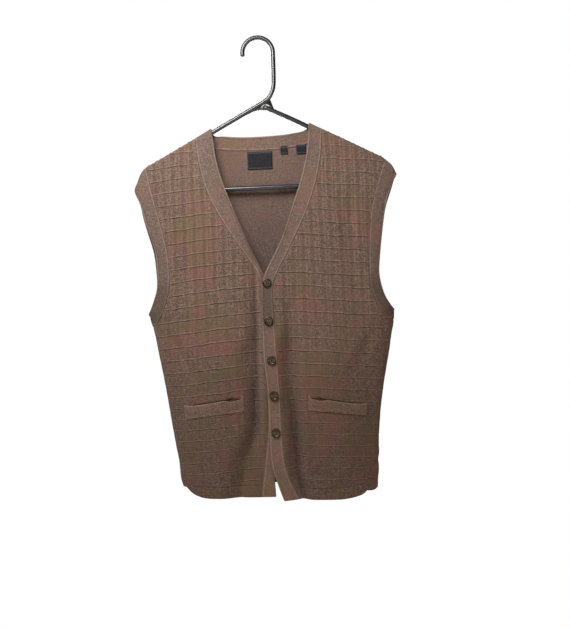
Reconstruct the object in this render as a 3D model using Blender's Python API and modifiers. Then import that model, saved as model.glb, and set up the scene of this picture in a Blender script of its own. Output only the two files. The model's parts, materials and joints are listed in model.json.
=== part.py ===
"""Sleeveless waffle-knit cardigan with five buttons, hung on a tubular plastic hanger.

+Z is up and the front faces -Y. Left and right are as seen from the front, so left is -X.
The origin is the inner top of the hanger's hook. Lengths here are in millimetres, and
each mesh is scaled to metres as it is made.
"""

import math
from bisect import bisect_right

import bmesh
import bpy
from mathutils import Vector

MM = 0.001
COLLECTION = "waffle_knit_vest"
FRONT = -1
BACK = 1

# Walls of the knitted pieces, and the gaps between pieces
KNIT_WALL = 2.0
BAND_WALL = 2.4
WELT_WALL = 2.2
LINING_WALL = 1.4
LABEL_WALL = 0.8
GAP = 0.3
LAP = 1.5  # the two placket bands stand this far in front of and behind the panels

# Hanger
TUBE_R = 3.7
BAR_SWELL = 1.12
HOOK_R = 26.0
HOOK_CENTRE_Z = TUBE_R - HOOK_R
TIP_R = 21.7
TIP_CENTRES = ((-178.3, -230.3), (187.0, -230.3))
# x, z of the tube's centre line, left arm tip to right arm tip
ARMS = (
    (-188.0, -211.5),
    (-143.0, -187.5),
    (-112.0, -170.7),
    (-69.0, -147.1),
    (-6.5, -113.7),
    (5.6, -110.0),
    (18.5, -120.0),
    (47.5, -134.1),
    (75.8, -148.7),
    (104.0, -163.3),
    (139.0, -181.1),
    (196.6, -211.4),
)
# x, z of the bend from the hook's shank into the left arm
SHANK = ((25.9, -34.0), (25.7, -56.0), (24.9, -76.0), (22.4, -87.5), (17.2, -97.6), (10.8, -103.6), (3.0, -108.7))
RIGHT_ARM_START = (6.4, -114.3)
WEB_HALF = 2.3
# x, z round the web that joins the arms under the hook
WEB = (
    (-24.0, -122.0),
    (-8.0, -114.0),
    (3.0, -107.5),
    (12.0, -101.0),
    (17.6, -100.1),
    (20.0, -108.5),
    (25.0, -122.8),
    (17.0, -121.9),
    (7.0, -119.9),
    (-3.0, -120.3),
    (-13.0, -122.5),
    (-22.0, -126.1),
)

# How the cloth rides over the arms
RIDE_R = 5.5  # bend radius of the cloth's middle over a tube
FLARE = 0.2  # growth of the depth per millimetre below the shoulder
RIDGE_LIFT = 6.2  # the cloth's ridge above the tube's centre line

# Sections of the hanging vest: height, left edge, right edge, front depth, back depth
SECTIONS = (
    (-790, -145.0, 170.0, 48.0, 30.0),
    (-770, -149.0, 172.5, 48.0, 30.0),
    (-757, -153.5, 173.0, 48.0, 30.0),
    (-740, -159.0, 175.0, 48.0, 30.0),
    (-714, -160.5, 176.5, 48.0, 30.0),
    (-690, -164.0, 177.3, 48.0, 30.0),
    (-652, -169.5, 180.5, 47.0, 29.0),
    (-610, -175.0, 186.3, 46.5, 28.0),
    (-570, -180.5, 194.0, 45.5, 27.0),
    (-540, -185.5, 200.3, 44.0, 26.0),
    (-511, -190.3, 205.8, 42.5, 24.5),
    (-490, -193.5, 209.3, 41.0, 23.5),
    (-479, -196.0, 212.0, 40.0, 23.0),
    (-470, -200.5, 215.0, 39.0, 22.5),
    (-460, -203.5, 215.5, 38.0, 22.0),
    (-431, -205.0, 213.5, 35.0, 20.0),
    (-383, -207.0, 212.0, 29.0, 17.0),
    (-330, -212.0, 216.0, 24.0, 15.0),
    (-290, -216.0, 224.0, 20.0, 13.5),
    (-250, -222.0, 236.0, 16.0, 12.0),
    (-150, -222.0, 236.0, 10.0, 8.0),
    (-90, -222.0, 236.0, 8.0, 7.0),
)
SQUARENESS = 2.2  # exponent of each section: 2 is an ellipse

# Seam between front band and panel, and the band's free edge: height, x
SEAM_LEFT = (
    (-768, -23.2),
    (-755, -21.5),
    (-725, -17.0),
    (-693, -12.0),
    (-660, -8.0),
    (-625, -6.6),
    (-592, -6.6),
    (-536, -10.6),
    (-440, -10.8),
    (-408, -11.0),
    (-388, -20.5),
    (-353, -44.0),
    (-315, -67.0),
    (-280, -86.0),
    (-245, -99.5),
    (-215, -106.5),
    (-190, -110.3),
    (-165, -112.0),
)
FREE_LEFT = (
    (-768, 0.8),
    (-755, 0.0),
    (-725, 0.5),
    (-693, 6.0),
    (-660, 10.0),
    (-625, 12.0),
    (-592, 12.0),
    (-536, 9.5),
    (-450, 8.5),
    (-425, 3.0),
    (-403, -5.1),
    (-366, -21.5),
    (-315, -42.0),
    (-260, -62.0),
    (-229, -72.0),
    (-207, -77.0),
    (-180, -81.0),
    (-151, -84.5),
)
SEAM_RIGHT = (
    (-775, 38.0),
    (-755, 29.5),
    (-735, 22.0),
    (-715, 17.5),
    (-693, 15.5),
    (-654, 14.4),
    (-603, 14.1),
    (-550, 12.1),
    (-494, 10.4),
    (-433, 9.2),
    (-404, 14.3),
    (-387, 25.0),
    (-341, 49.5),
    (-300, 70.1),
    (-258, 86.5),
    (-226, 95.5),
    (-194, 101.0),
    (-158, 104.0),
)
FREE_RIGHT = (
    (-775, 14.4),
    (-755, 7.5),
    (-735, 1.0),
    (-715, -3.5),
    (-693, -4.5),
    (-625, -5.0),
    (-592, -5.3),
    (-536, -9.5),
    (-444, -9.8),
    (-430, -9.0),
    (-410, -6.3),
    (-393, 0.8),
    (-373, 11.3),
    (-338, 29.5),
    (-282, 50.0),
    (-249, 62.0),
    (-222, 70.5),
    (-193, 77.7),
    (-170, 80.3),
    (-147, 82.0),
)
BAND_RISE = 11.0  # a band's free edge sits this much higher than its seam along the V
TUCK = ((-520, 0.0), (-440, 2.0), (-403, 5.0), (-380, 3.5), (-330, 0.0))  # height, mm back

# Front armhole seam, from shoulder tip to underarm: height, x
ARMHOLE_LEFT = (
    (-479, -186.5),
    (-465, -180.2),
    (-454, -174.6),
    (-440, -169.4),
    (-427, -165.0),
    (-400, -162.2),
    (-369, -163.0),
    (-317, -172.2),
    (-292, -178.4),
    (-255, -187.0),
    (-212, -196.0),
)
ARMHOLE_RIGHT = (
    (-483, 198.0),
    (-470, 189.5),
    (-458, 183.2),
    (-445, 177.4),
    (-431, 172.8),
    (-411, 171.8),
    (-335, 175.5),
    (-287, 182.5),
    (-252, 193.0),
    (-230, 202.0),
    (-214, 207.0),
)
# Back armhole seam: share of the armhole's depth, angle round the section from its middle
ARMHOLE_BACK = ((0.0, 62.0), (0.15, 58.5), (0.5, 58.0), (0.75, 60.0), (0.85, 62.5), (0.906, 66.0), (0.948, 72.0))
# Free edges of the armhole bands: height, x in front, x behind
CUFF_LEFT = (
    (-460.5, -203.4, -203.4),
    (-452, -198.0, -199.5),
    (-442, -193.3, -195.0),
    (-405, -183.1, -188.0),
    (-364, -184.4, -190.0),
    (-316, -196.9, -201.0),
    (-290, -204.1, -207.0),
    (-250, -210.2, -211.0),
    (-234, -207.5, -207.5),
)
CUFF_RIGHT = (
    (-469.0, 214.9, 214.9),
    (-456, 203.7, 206.5),
    (-431, 193.1, 198.0),
    (-404, 189.0, 194.0),
    (-384, 190.8, 196.0),
    (-329, 198.5, 203.5),
    (-293, 205.2, 210.0),
    (-262, 214.6, 217.5),
    (-238, 226.5, 226.5),
)
SHOULDER_TIPS = (-196.0, 207.0)

# Side seam, set forward of the edge of the section: height, left inset, right inset
SIDE_INSET = (
    (-790, 3.0, 20.0),
    (-768, 3.2, 20.0),
    (-752, 4.0, 19.5),
    (-745, 5.0, 19.0),
    (-731, 5.5, 14.0),
    (-723, 4.5, 6.0),
    (-713, 1.6, 1.6),
    (-695, 6.0, 8.0),
    (-640, 8.0, 13.0),
    (-479, 7.5, 13.5),
)
VENT_TOP = -713.0

# Hems: x, height
HEM_LEFT = ((-149, -752), (-144, -757.5), (-137, -762), (-126, -766), (-113, -768.1), (-23, -766.1), (1, -768))
HEM_RIGHT = ((14, -774.5), (55, -776.8), (109, -778.4), (135, -776.0), (147, -772.5), (153, -768))
HEM_BACK = ((-152, -752), (-140, -759), (-120, -761), (0, -761), (120, -766), (150, -773), (163, -774.5), (172, -770.5))

# Rows of every panel. The first ones run over the tube, by their distance round it
ROUND_ROWS = (0.15, 0.9, 2.4, 4.6, 7.5, 12.5, 21.0)
# then by height: left band seam, right band seam, left outer edge, right outer edge
ROWS = (
    (-200, -200, -246, -252),
    (-222, -222, -266, -272),
    (-245, -245, -286, -292),
    (-270, -270, -308, -313),
    (-295, -295, -330, -335),
    (-320, -320, -353, -358),
    (-345, -345, -376, -381),
    (-370, -370, -400, -405),
    (-392, -392, -422, -427),
    (-411, -411, -440, -445),
    (-430, -430, -454, -458),
    (-449, -449, -465, -470),
    (-467, -467, -479, -483),
    (-489, -489, -499, -503),
    (-514, -514, -522, -527),
    (-540, -540, -548, -553),
    (-568, -568, -583, -590),
    (-596.7, -596.8, -617.5, -626.4),
    (-616, -616, -634, -641),
    (-637, -637, -650, -655),
    (-662, -662, -671, -674),
    (-688, -688, -693, -695),
    (-713, -713, -713, -713),
    (-731, -733, -725, -731),
    (-749, -753, -739, -750),
    (-768, -774.5, -752, -768),
)
FIRST = len(ROUND_ROWS) - 1
UNDERARM_ROW = FIRST + 13
MOUTH_ROW = FIRST + 18
VENT_ROW = FIRST + 23
LAST_ROW = FIRST + len(ROWS)

# Columns, as shares of the angle round the section between a panel's two edges
COLUMNS_LEFT = (0, 0.012, 0.055, 0.1, 0.15, 0.2, 0.28, 0.37, 0.47, 0.57, 0.665, 0.762, 0.86, 0.95, 1)
COLUMNS_RIGHT = (0, 0.012, 0.05, 0.09, 0.135, 0.185, 0.24, 0.34, 0.44, 0.54, 0.645, 0.75, 0.844, 0.93, 1)
COLUMNS_BACK = (0, 0.012, 0.05, 0.09, 0.1, 0.135, 0.175, 0.22, 0.275, 0.33, 0.385, 0.44, 0.5)
WRAP = 3  # the back's columns that reach round to the side seams, below the armholes only
BAND_COLUMNS = (0, 0.06, 0.5, 1)
MOUTH_LEFT = (5, 11)
MOUTH_RIGHT = (6, 12)
NECK_COLUMNS = (8, 16)
NECK_ROW = 4

# Back neck: x of the seam, its height, x of the free edge, its height
NECK = (
    (-100, -177.0, -79.0, -161.5),
    (-80, -182.8, -62.0, -165.4),
    (-45, -186.5, -35.0, -167.8),
    (-4, -187.5, -3.0, -168.2),
    (37, -186.5, 29.0, -167.4),
    (72, -181.6, 57.0, -164.4),
    (94, -172.5, 75.0, -157.6),
)
NECK_SEAM_X = (-112.0, 104.0)
NECK_FREE_X = (-84.5, 82.0)

# Folds: side, depth (inward is negative), half width, then height and x down the fold
FOLDS = (
    (FRONT, -10.0, 10.0, ((-760, -62), (-694, -46), (-656, -32), (-600, -31), (-550, -39), (-490, -24))),
    (FRONT, -11.0, 9.5, ((-765, 47), (-737, 36), (-672, 35), (-619, 28), (-566, 26), (-490, 28))),
    (FRONT, 3.5, 26.0, ((-770, -95), (-640, -92), (-560, -88), (-480, -96))),
    (FRONT, 4.0, 28.0, ((-770, 112), (-640, 108), (-560, 104), (-480, 110))),
    (FRONT, -3.0, 11.0, ((-470, -150), (-400, -135), (-340, -128), (-250, -140))),
    (FRONT, -3.0, 12.0, ((-480, 160), (-420, 144), (-350, 136), (-260, 150))),
    (BACK, -8.0, 12.0, ((-760, -78), (-690, -70), (-600, -62), (-500, -66))),
    (BACK, -7.0, 11.0, ((-765, 58), (-700, 64), (-610, 74), (-510, 66))),
    (BACK, 4.0, 30.0, ((-765, -6), (-640, 4), (-520, 0), (-430, 2))),
    (BACK, -4.0, 14.0, ((-770, 122), (-690, 128), (-620, 124), (-540, 132))),
)
FOLD_FADE = 55.0  # length over which a fold grows from nothing at its upper end

# Pockets
GAPE = 9.0  # height of a pocket mouth at its widest
GAPE_PUSH = 2.0
LINING_OFF = 7.4
LINING_ROWS = (-0.6, 0, 1, 2, 3, 4)
WELT_ROWS = (0, 0.5, 1.0, 1.27)
WELT_LIFT = 1.0

# Buttons, from the top: x, height
BUTTONS = ((0.0, -415.2), (0.5, -478.7), (2.6, -543.7), (4.3, -601.7), (5.0, -662.7))
BUTTON_R = 7.4
# radius, height down the outside of a button from the middle of its face
BUTTON_PROFILE = ((0, 1.9), (4.4, 1.95), (5.2, 2.5), (6.1, 3.0), (7.0, 2.7), (7.4, 1.9), (7.1, 0.8), (6.0, 0.1), (0, 0))
BUTTON_STEPS = 28
HOLE_R = 0.85
HOLE_OFF = 1.75

# Labels inside the back neck: name, middle x, middle height, width, height
LABELS = (
    ("neck_label", -4.0, -204.0, 42.0, 30.0),
    ("size_tab", 38.0, -188.5, 12.0, 14.0),
    ("care_tab", 67.0, -188.0, 16.0, 16.0),
)

# Surfaces: colour, roughness, metallic
SURFACES = {
    "waffle_knit": ((0.150, 0.100, 0.075), 0.92, 0.0),
    "band_knit": ((0.165, 0.112, 0.088), 0.90, 0.0),
    "welt_knit": ((0.170, 0.118, 0.092), 0.90, 0.0),
    "pocket_knit": ((0.090, 0.062, 0.048), 0.94, 0.0),
    "hanger_plastic": ((0.012, 0.012, 0.013), 0.28, 0.0),
    "button_plastic": ((0.035, 0.022, 0.016), 0.22, 0.0),
    "label_satin": ((0.014, 0.014, 0.016), 0.55, 0.0),
}


def smooth(pairs):
    """A function running smoothly, with no overshoot, through pairs of key and value."""
    pairs = sorted(pairs)
    keys = [key for key, _ in pairs]
    values = [value for _, value in pairs]
    steps = [(v1 - v0) / (k1 - k0) for k0, k1, v0, v1 in zip(keys, keys[1:], values, values[1:])]
    slopes = [steps[0]]
    for before, after in zip(steps, steps[1:]):
        same = before * after > 0
        slopes.append(2 * before * after / (before + after) if same else 0.0)
    slopes.append(steps[-1])

    def at(key):
        key = min(max(key, keys[0]), keys[-1])
        i = min(max(bisect_right(keys, key) - 1, 0), len(keys) - 2)
        span = keys[i + 1] - keys[i]
        t = (key - keys[i]) / span
        rise = values[i + 1] - values[i]
        bend = (slopes[i] * span - rise) * (1 - t) - (slopes[i + 1] * span - rise) * t
        return values[i] + rise * t + bend * t * (1 - t)

    return at


def columns_of(table):
    """One smooth function of the first column for each of a table's other columns."""
    return [smooth([(row[0], row[k]) for row in table]) for k in range(1, len(table[0]))]


def mix(a, b, t):
    return a + (b - a) * t


def ramp(low, high, value):
    t = min(max((value - low) / (high - low), 0.0), 1.0)
    return t * t * (3 - 2 * t)


EDGE_LEFT, EDGE_RIGHT, DEPTH_FRONT, DEPTH_BACK = columns_of(SECTIONS)
ARM_HEIGHT = smooth(ARMS)
SEAM = {"left": smooth(SEAM_LEFT), "right": smooth(SEAM_RIGHT)}
FREE = {"left": smooth(FREE_LEFT), "right": smooth(FREE_RIGHT)}
ARMHOLE = {"left": smooth(ARMHOLE_LEFT), "right": smooth(ARMHOLE_RIGHT)}
INSET = dict(zip(("left", "right"), columns_of(SIDE_INSET)))
HEM = {"left": smooth(HEM_LEFT), "right": smooth(HEM_RIGHT), "back": smooth(HEM_BACK)}
BACK_ANGLE = smooth(ARMHOLE_BACK)
TUCK_AT = smooth(TUCK)
FOLD_PATHS = [(side, deep, half, smooth(path), path[-1][0]) for side, deep, half, path in FOLDS]
SIGN = {"left": -1, "right": 1}


def section(z):
    """Middle and half width of the vest's section at a height."""
    left, right = EDGE_LEFT(z), EDGE_RIGHT(z)
    return (left + right) / 2, (right - left) / 2


def ridge(x):
    """Height of the shoulder line over the hanger."""
    for side, (cx, cz) in zip((-1, 1), TIP_CENTRES):
        reach = side * (x - cx)
        bend = TIP_R + RIDE_R
        if reach > 12:
            return cz + math.sqrt(max(bend**2 - reach**2, 0))
    return ARM_HEIGHT(x) + RIDGE_LIFT


def drop_at(arc):
    """Drop below the ridge after going an arc length down the cloth."""
    quarter = RIDE_R * math.pi / 2
    if arc < quarter:
        return RIDE_R * (1 - math.cos(arc / RIDE_R))
    return RIDE_R + arc - quarter


def ride_depth(drop):
    """How far the cloth stands off the hanger's plane at a drop below the ridge."""
    turn = max(1 - drop / RIDE_R, 0.0)
    return RIDE_R * math.sqrt(max(1 - turn * turn, 0)) + FLARE * drop


def folds_at(side, x, z):
    """Sum of the folds at a point: troughs and ridges, uneven in depth, width and length."""
    total = 0.0
    for fold_side, deep, half, path, top in FOLD_PATHS:
        if fold_side != side:
            continue
        grown = ramp(0, FOLD_FADE, top - z)
        total += deep * grown * math.exp(-(((x - path(z)) / half) ** 2))
    return total


def lap_at(half, x, z):
    """Offset that lets the right band pass in front of the left one."""
    if half is None:
        return 0.0
    from_seam = SIGN[half] * (x - SEAM[half](z))
    near = 1 - ramp(6, 26, from_seam)
    return SIGN[half] * LAP * near * ramp(330, 398, -z)


def cloth(side, x, z, drop=None, half=None, push=0.0):
    """Point on the middle of the cloth, front or back, at a width and a height."""
    middle, width = section(z)
    share = min(abs(x - middle) / width, 1.0)
    deep = DEPTH_FRONT(z) if side == FRONT else DEPTH_BACK(z)
    deep *= (1 - share**SQUARENESS) ** (1 / SQUARENESS)
    ride = ride_depth(max(ridge(x) - z, 0) if drop is None else drop)
    stand = (max(deep, 0.01) ** -4 + max(ride, 0.01) ** -4) ** -0.25
    loose = ramp(4, 16, stand)
    stand += loose * folds_at(side, x, z) + lap_at(half, x, z) + push
    return Vector((x, side * stand, z))


def angle_of(x, z):
    """Angle round the section, from its middle, of a point at a width and a height."""
    middle, width = section(z)
    return math.asin(min(max((x - middle) / width, -1.0), 1.0))


def settle(side, angle, height):
    """Width, height and side of the point at an angle on a row, whose height varies along x."""
    z = height(0.0)
    for _ in range(8):
        middle, width = section(z)
        x = middle + width * math.sin(angle)
        z = height(x)
    return x, z, side if math.cos(angle) >= 0 else -side


class Row:
    """One row of a panel: it gives the height at a width."""

    def __init__(self, height, drop=None):
        self.height = height
        self.drop = drop

    def point(self, side, angle, half=None):
        x, z, side_here = settle(side, angle, self.height)
        return cloth(side_here, x, z, self.drop, half)


def round_row(arc):
    drop = drop_at(arc)
    return Row(lambda x: ridge(x) - drop, drop)


def line_row(x0, z0, x1, z1, sag=None, amount=0.0):
    """A row straight between two points, drawn part of the way to a hem."""

    def height(x):
        t = (x - x0) / (x1 - x0)
        z = mix(z0, z1, min(max(t, -0.1), 1.1))
        if amount:
            z += amount * (sag(x) - mix(sag(x0), sag(x1), min(max(t, 0), 1)))
        return z

    return Row(height)


def seam_x(half, z, off):
    """Width of the band seam at a height, moved off it by half a gap."""
    slope = (SEAM[half](z + 1) - SEAM[half](z - 1)) / 2
    return SEAM[half](z) + SIGN[half] * off * math.sqrt(1 + slope * slope)


def outer_angle(half, z, row):
    """Angle of a front panel's outer edge: the armhole seam, then the side seam."""
    if row <= UNDERARM_ROW - 1:
        return angle_of(ARMHOLE[half](z), z)
    return side_angle(half, z, GAP / 2)


def side_angle(half, z, off):
    """Angle of the side seam from the front's middle, moved off it along the cloth."""
    middle, width = section(z)
    inset = INSET[half](z)
    share = 1 - inset / width if half == "right" else -(1 - inset / width)
    angle = math.asin(share)
    turn = 0.01
    one = section_point(FRONT, angle, z)
    two = section_point(FRONT, angle - SIGN[half] * turn, z)
    return angle - SIGN[half] * off * turn / max((one - two).length, 1e-6)


def section_point(side, angle, z):
    middle, width = section(z)
    side_here = side if math.cos(angle) >= 0 else -side
    return cloth(side_here, middle + width * math.sin(angle), z)


def front_edges(half, index):
    """Inner and outer x, z of a front panel's row, and the row itself."""
    sign = SIGN[half]
    tip = SHOULDER_TIPS[0 if half == "left" else 1]
    if index <= FIRST:
        row = round_row(ROUND_ROWS[index])
        z_in = row.height(SEAM[half](-165))
        x_in = seam_x(half, z_in, GAP / 2)
        z_out = row.height(tip)
        x_out = mix(tip, ARMHOLE[half](z_out), ramp(0, FIRST, index))
        return x_in, row.height(x_in), x_out, row.height(x_out), row
    numbers = ROWS[index - FIRST - 1]
    z_in, z_out = (numbers[0], numbers[2]) if half == "left" else (numbers[1], numbers[3])
    x_in = seam_x(half, z_in, GAP / 2)
    angle = outer_angle(half, z_out, index)
    middle, width = section(z_out)
    x_out = middle + width * math.sin(angle)
    amount = ramp(VENT_ROW, LAST_ROW, index) if index > VENT_ROW else 0.0
    if index == LAST_ROW:
        amount = 1.0
    return x_in, z_in, x_out, z_out, line_row(x_in, z_in, x_out, z_out, HEM[half], amount)


class Sheet:
    """A grid of points on the cloth's middle, with the normals that face out of the vest."""

    def __init__(self, points, flip=False):
        self.points = points
        self.flip = flip
        self.rows = len(points)
        self.cols = len(points[0])

    def node_normal(self, i, j):
        p = self.points
        down = p[min(i + 1, self.rows - 1)][j] - p[max(i - 1, 0)][j]
        along = p[i][min(j + 1, self.cols - 1)] - p[i][max(j - 1, 0)]
        normal = along.cross(down).normalized()
        return -normal if self.flip else normal

    def at(self, i, j, out=0.0):
        """Point at a fractional row and column, moved out along the normal."""
        i0 = min(max(int(math.floor(i)), 0), self.rows - 2)
        j0 = min(max(int(math.floor(j)), 0), self.cols - 2)
        u, v = i - i0, j - j0
        place, normal = Vector(), Vector()
        for di, wi in ((0, 1 - u), (1, u)):
            for dj, wj in ((0, 1 - v), (1, v)):
                place += wi * wj * self.points[i0 + di][j0 + dj]
                normal += wi * wj * self.node_normal(i0 + di, j0 + dj)
        return place + normal.normalized() * out


def front_sheet(half):
    """Points of a front panel, shoulder to hem, inner edge to outer edge."""
    shares = COLUMNS_LEFT if half == "left" else COLUMNS_RIGHT
    points = []
    for index in range(LAST_ROW + 1):
        x_in, z_in, x_out, z_out, row = front_edges(half, index)
        a_in, a_out = angle_of(x_in, z_in), angle_of(x_out, z_out)
        points.append([row.point(FRONT, mix(a_in, a_out, share), half) for share in shares])
    return Sheet(points, flip=half == "right")


def back_edge_angles(index, z_left, z_right):
    """Angles of the back's two edges on a row, measured from the back's middle."""
    angles = []
    for half, z, tip in (("left", z_left, SHOULDER_TIPS[0]), ("right", z_right, SHOULDER_TIPS[1])):
        top = ridge(tip)
        bottom = ROWS[12][2 if half == "left" else 3]
        share = (top - z) / (top - bottom)
        if index <= FIRST:
            tip_angle = angle_of(tip, z)
            later = SIGN[half] * math.radians(BACK_ANGLE(share))
            angle = mix(tip_angle, later, ramp(0, FIRST, index))
        elif index < UNDERARM_ROW:
            angle = SIGN[half] * math.radians(BACK_ANGLE(share))
        else:
            front = side_angle(half, z, -GAP / 2)
            angle = SIGN[half] * math.pi - front
        angles.append(angle)
    return angles


def neck_boundary():
    """x, height along the top of the back between its two inner shoulder corners."""
    pairs = [(x, z) for x, z, _, _ in NECK]
    drop = drop_at(ROUND_ROWS[NECK_ROW])
    ends = [(x, ridge(x) - drop) for x in NECK_SEAM_X]
    return smooth([ends[0]] + pairs + [ends[1]])


NECK_HEIGHT = neck_boundary()


def back_top(x):
    """Height of the back's top edge: the ridge on the shoulders, the neck seam between."""
    if NECK_SEAM_X[0] < x < NECK_SEAM_X[1]:
        return NECK_HEIGHT(x)
    return ridge(x) - drop_at(ROUND_ROWS[NECK_ROW])


def back_row(index):
    """A row of the back, level low down and following the neck and shoulders above."""
    if index <= NECK_ROW:
        return round_row(ROUND_ROWS[index])
    lines = [(z_left, z_right) for _, _, z_left, z_right in ROWS]
    level_row = FIRST + 6
    tips = [ridge(tip) - drop_at(ROUND_ROWS[NECK_ROW]) for tip in SHOULDER_TIPS]

    def ends(i):
        if i <= FIRST:
            lower = drop_at(ROUND_ROWS[i]) - drop_at(ROUND_ROWS[NECK_ROW])
            return tips[0] - lower, tips[1] - lower
        return lines[i - FIRST - 1]

    z_left, z_right = ends(index)
    if index >= level_row:
        angles = back_edge_angles(index, z_left, z_right)
        amount = ramp(VENT_ROW, LAST_ROW, index) if index > VENT_ROW else 0.0
        x_left = section_point(BACK, angles[0], z_left).x
        x_right = section_point(BACK, angles[1], z_right).x
        return line_row(x_left, z_left, x_right, z_right, HEM["back"], 1.0 if index == LAST_ROW else amount)
    base_left, base_right = ends(level_row)
    share = (tips[0] - z_left) / (tips[0] - base_left)

    def height(x):
        t = min(max((x - SHOULDER_TIPS[0]) / (SHOULDER_TIPS[1] - SHOULDER_TIPS[0]), 0), 1)
        return mix(back_top(x), mix(base_left, base_right, t), share)

    return Row(height)


def back_shares(index):
    """Shares of the angle for the back's columns, drawn to the neck corners at the top."""
    low = list(COLUMNS_BACK) + [1 - share for share in reversed(COLUMNS_BACK[:-1])]
    if index >= UNDERARM_ROW:
        return low
    inset = COLUMNS_BACK[WRAP]
    low = [min(max((share - inset) / (1 - 2 * inset), 0), 1) for share in low]
    left = angle_of(SHOULDER_TIPS[0], ridge(SHOULDER_TIPS[0]))
    right = angle_of(SHOULDER_TIPS[1], ridge(SHOULDER_TIPS[1]))

    def share_of(x):
        return (angle_of(x, NECK_HEIGHT(x)) - left) / (right - left)

    first, second = share_of(NECK_SEAM_X[0] - GAP / 2), share_of(NECK_SEAM_X[1] + GAP / 2)
    outer = (0,) * WRAP + (0, 0.04, 0.24, 0.5, 0.76, 1)
    top = [first * part for part in outer]
    top += [share_of(x) for x, _, _, _ in NECK]
    top += [mix(1, second, part) for part in reversed(outer)]
    blend = ramp(FIRST, UNDERARM_ROW - 3, index)
    return [mix(high, down, blend) for high, down in zip(top, low)]


def back_sheet():
    """Points of the back, left edge to right edge."""
    points = []
    for index in range(LAST_ROW + 1):
        row = back_row(index)
        ends = []
        if index <= FIRST:
            ends = [row.height(tip) for tip in SHOULDER_TIPS]
        else:
            ends = [ROWS[index - FIRST - 1][2], ROWS[index - FIRST - 1][3]]
        first, last = back_edge_angles(index, *ends)
        points.append([row.point(BACK, mix(first, last, share)) for share in back_shares(index)])
    neck = points[NECK_ROW]
    for j in range(NECK_COLUMNS[0] + 1, NECK_COLUMNS[1]):
        x, z = NECK[j - NECK_COLUMNS[0] - 1][:2]
        neck[j] = cloth(BACK, x, z - GAP / 2)
    for i in range(NECK_ROW + 1):
        for j, x, way in ((NECK_COLUMNS[0], NECK_SEAM_X[0], -1), (NECK_COLUMNS[1], NECK_SEAM_X[1], 1)):
            drop = drop_at(ROUND_ROWS[i])
            points[i][j] = cloth(BACK, x + way * GAP / 2, ridge(x) - drop, drop)
    return Sheet(points)


def new_object(name, verts, faces, surface, wall=None):
    """A mesh object in metres; an open surface gets a wall of even thickness."""
    mesh = bpy.data.meshes.new(name)
    mesh.from_pydata([tuple(MM * c for c in vert) for vert in verts], [], faces)
    bm = bmesh.new()
    bm.from_mesh(mesh)
    loose = [vert for vert in bm.verts if not vert.link_faces]
    bmesh.ops.delete(bm, geom=loose, context="VERTS")
    bmesh.ops.recalc_face_normals(bm, faces=bm.faces)
    bm.to_mesh(mesh)
    bm.free()
    for face in mesh.polygons:
        face.use_smooth = True
    obj = bpy.data.objects.new(name, mesh)
    bpy.data.collections[COLLECTION].objects.link(obj)
    obj.data.materials.append(bpy.data.materials[surface])
    if wall:
        solid = obj.modifiers.new("Wall", "SOLIDIFY")
        solid.thickness = wall * MM
        solid.offset = 0.0
    return obj


def grid_faces(rows, cols, skip=lambda i, j: False):
    faces = []
    for i in range(rows - 1):
        for j in range(cols - 1):
            if not skip(i, j):
                a = i * cols + j
                faces.append((a, a + 1, a + cols + 1, a + cols))
    return faces


def flat(grid):
    return [point for row in grid for point in row]


def gape_at(share):
    """Opening of a pocket mouth along its length, widest near the placket."""
    return GAPE * math.sin(math.pi * share**0.6) if 0 < share < 1 else 0.0


def lips(sheet, mouth):
    """Upper and lower lip of a pocket mouth, as rows of points."""
    first, last = mouth
    upper = list(sheet.points[MOUTH_ROW])
    lower = list(upper)
    for j in range(first + 1, last):
        gape = gape_at((j - first) / (last - first))
        normal = sheet.node_normal(MOUTH_ROW, j)
        upper[j] = upper[j] + Vector((0, 0, 0.25 * gape))
        lower[j] = lower[j] + Vector((0, 0, -0.75 * gape)) + normal * GAPE_PUSH * gape / GAPE
    return upper, lower


def build_front(half, sheet, mouth):
    """A front panel whose pocket mouth is a slit, open at its inner end."""
    upper, lower = lips(sheet, mouth)
    rows = sheet.points[:MOUTH_ROW] + [upper] + sheet.points[MOUTH_ROW + 1 :]
    verts = flat(rows)
    cols = sheet.cols
    faces = grid_faces(len(rows), cols)
    first, last = mouth
    lower_id = {}
    for j in range(first + 1, last):
        lower_id[MOUTH_ROW * cols + j] = len(verts)
        verts.append(lower[j])
    below = range(MOUTH_ROW * (cols - 1), (MOUTH_ROW + 1) * (cols - 1))
    for k in below:
        faces[k] = tuple(lower_id.get(v, v) for v in faces[k])
    return new_object("front_" + half, verts, faces, "waffle_knit", KNIT_WALL)


def build_back(sheet):
    """The back, left out over the neck and, above the underarms, past the armhole seams."""

    def skip(i, j):
        over_neck = i < NECK_ROW and NECK_COLUMNS[0] <= j < NECK_COLUMNS[1]
        past_seam = i < UNDERARM_ROW and not WRAP <= j < sheet.cols - 1 - WRAP
        return over_neck or past_seam

    faces = grid_faces(sheet.rows, sheet.cols, skip)
    return new_object("back", flat(sheet.points), faces, "waffle_knit", KNIT_WALL)


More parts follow.
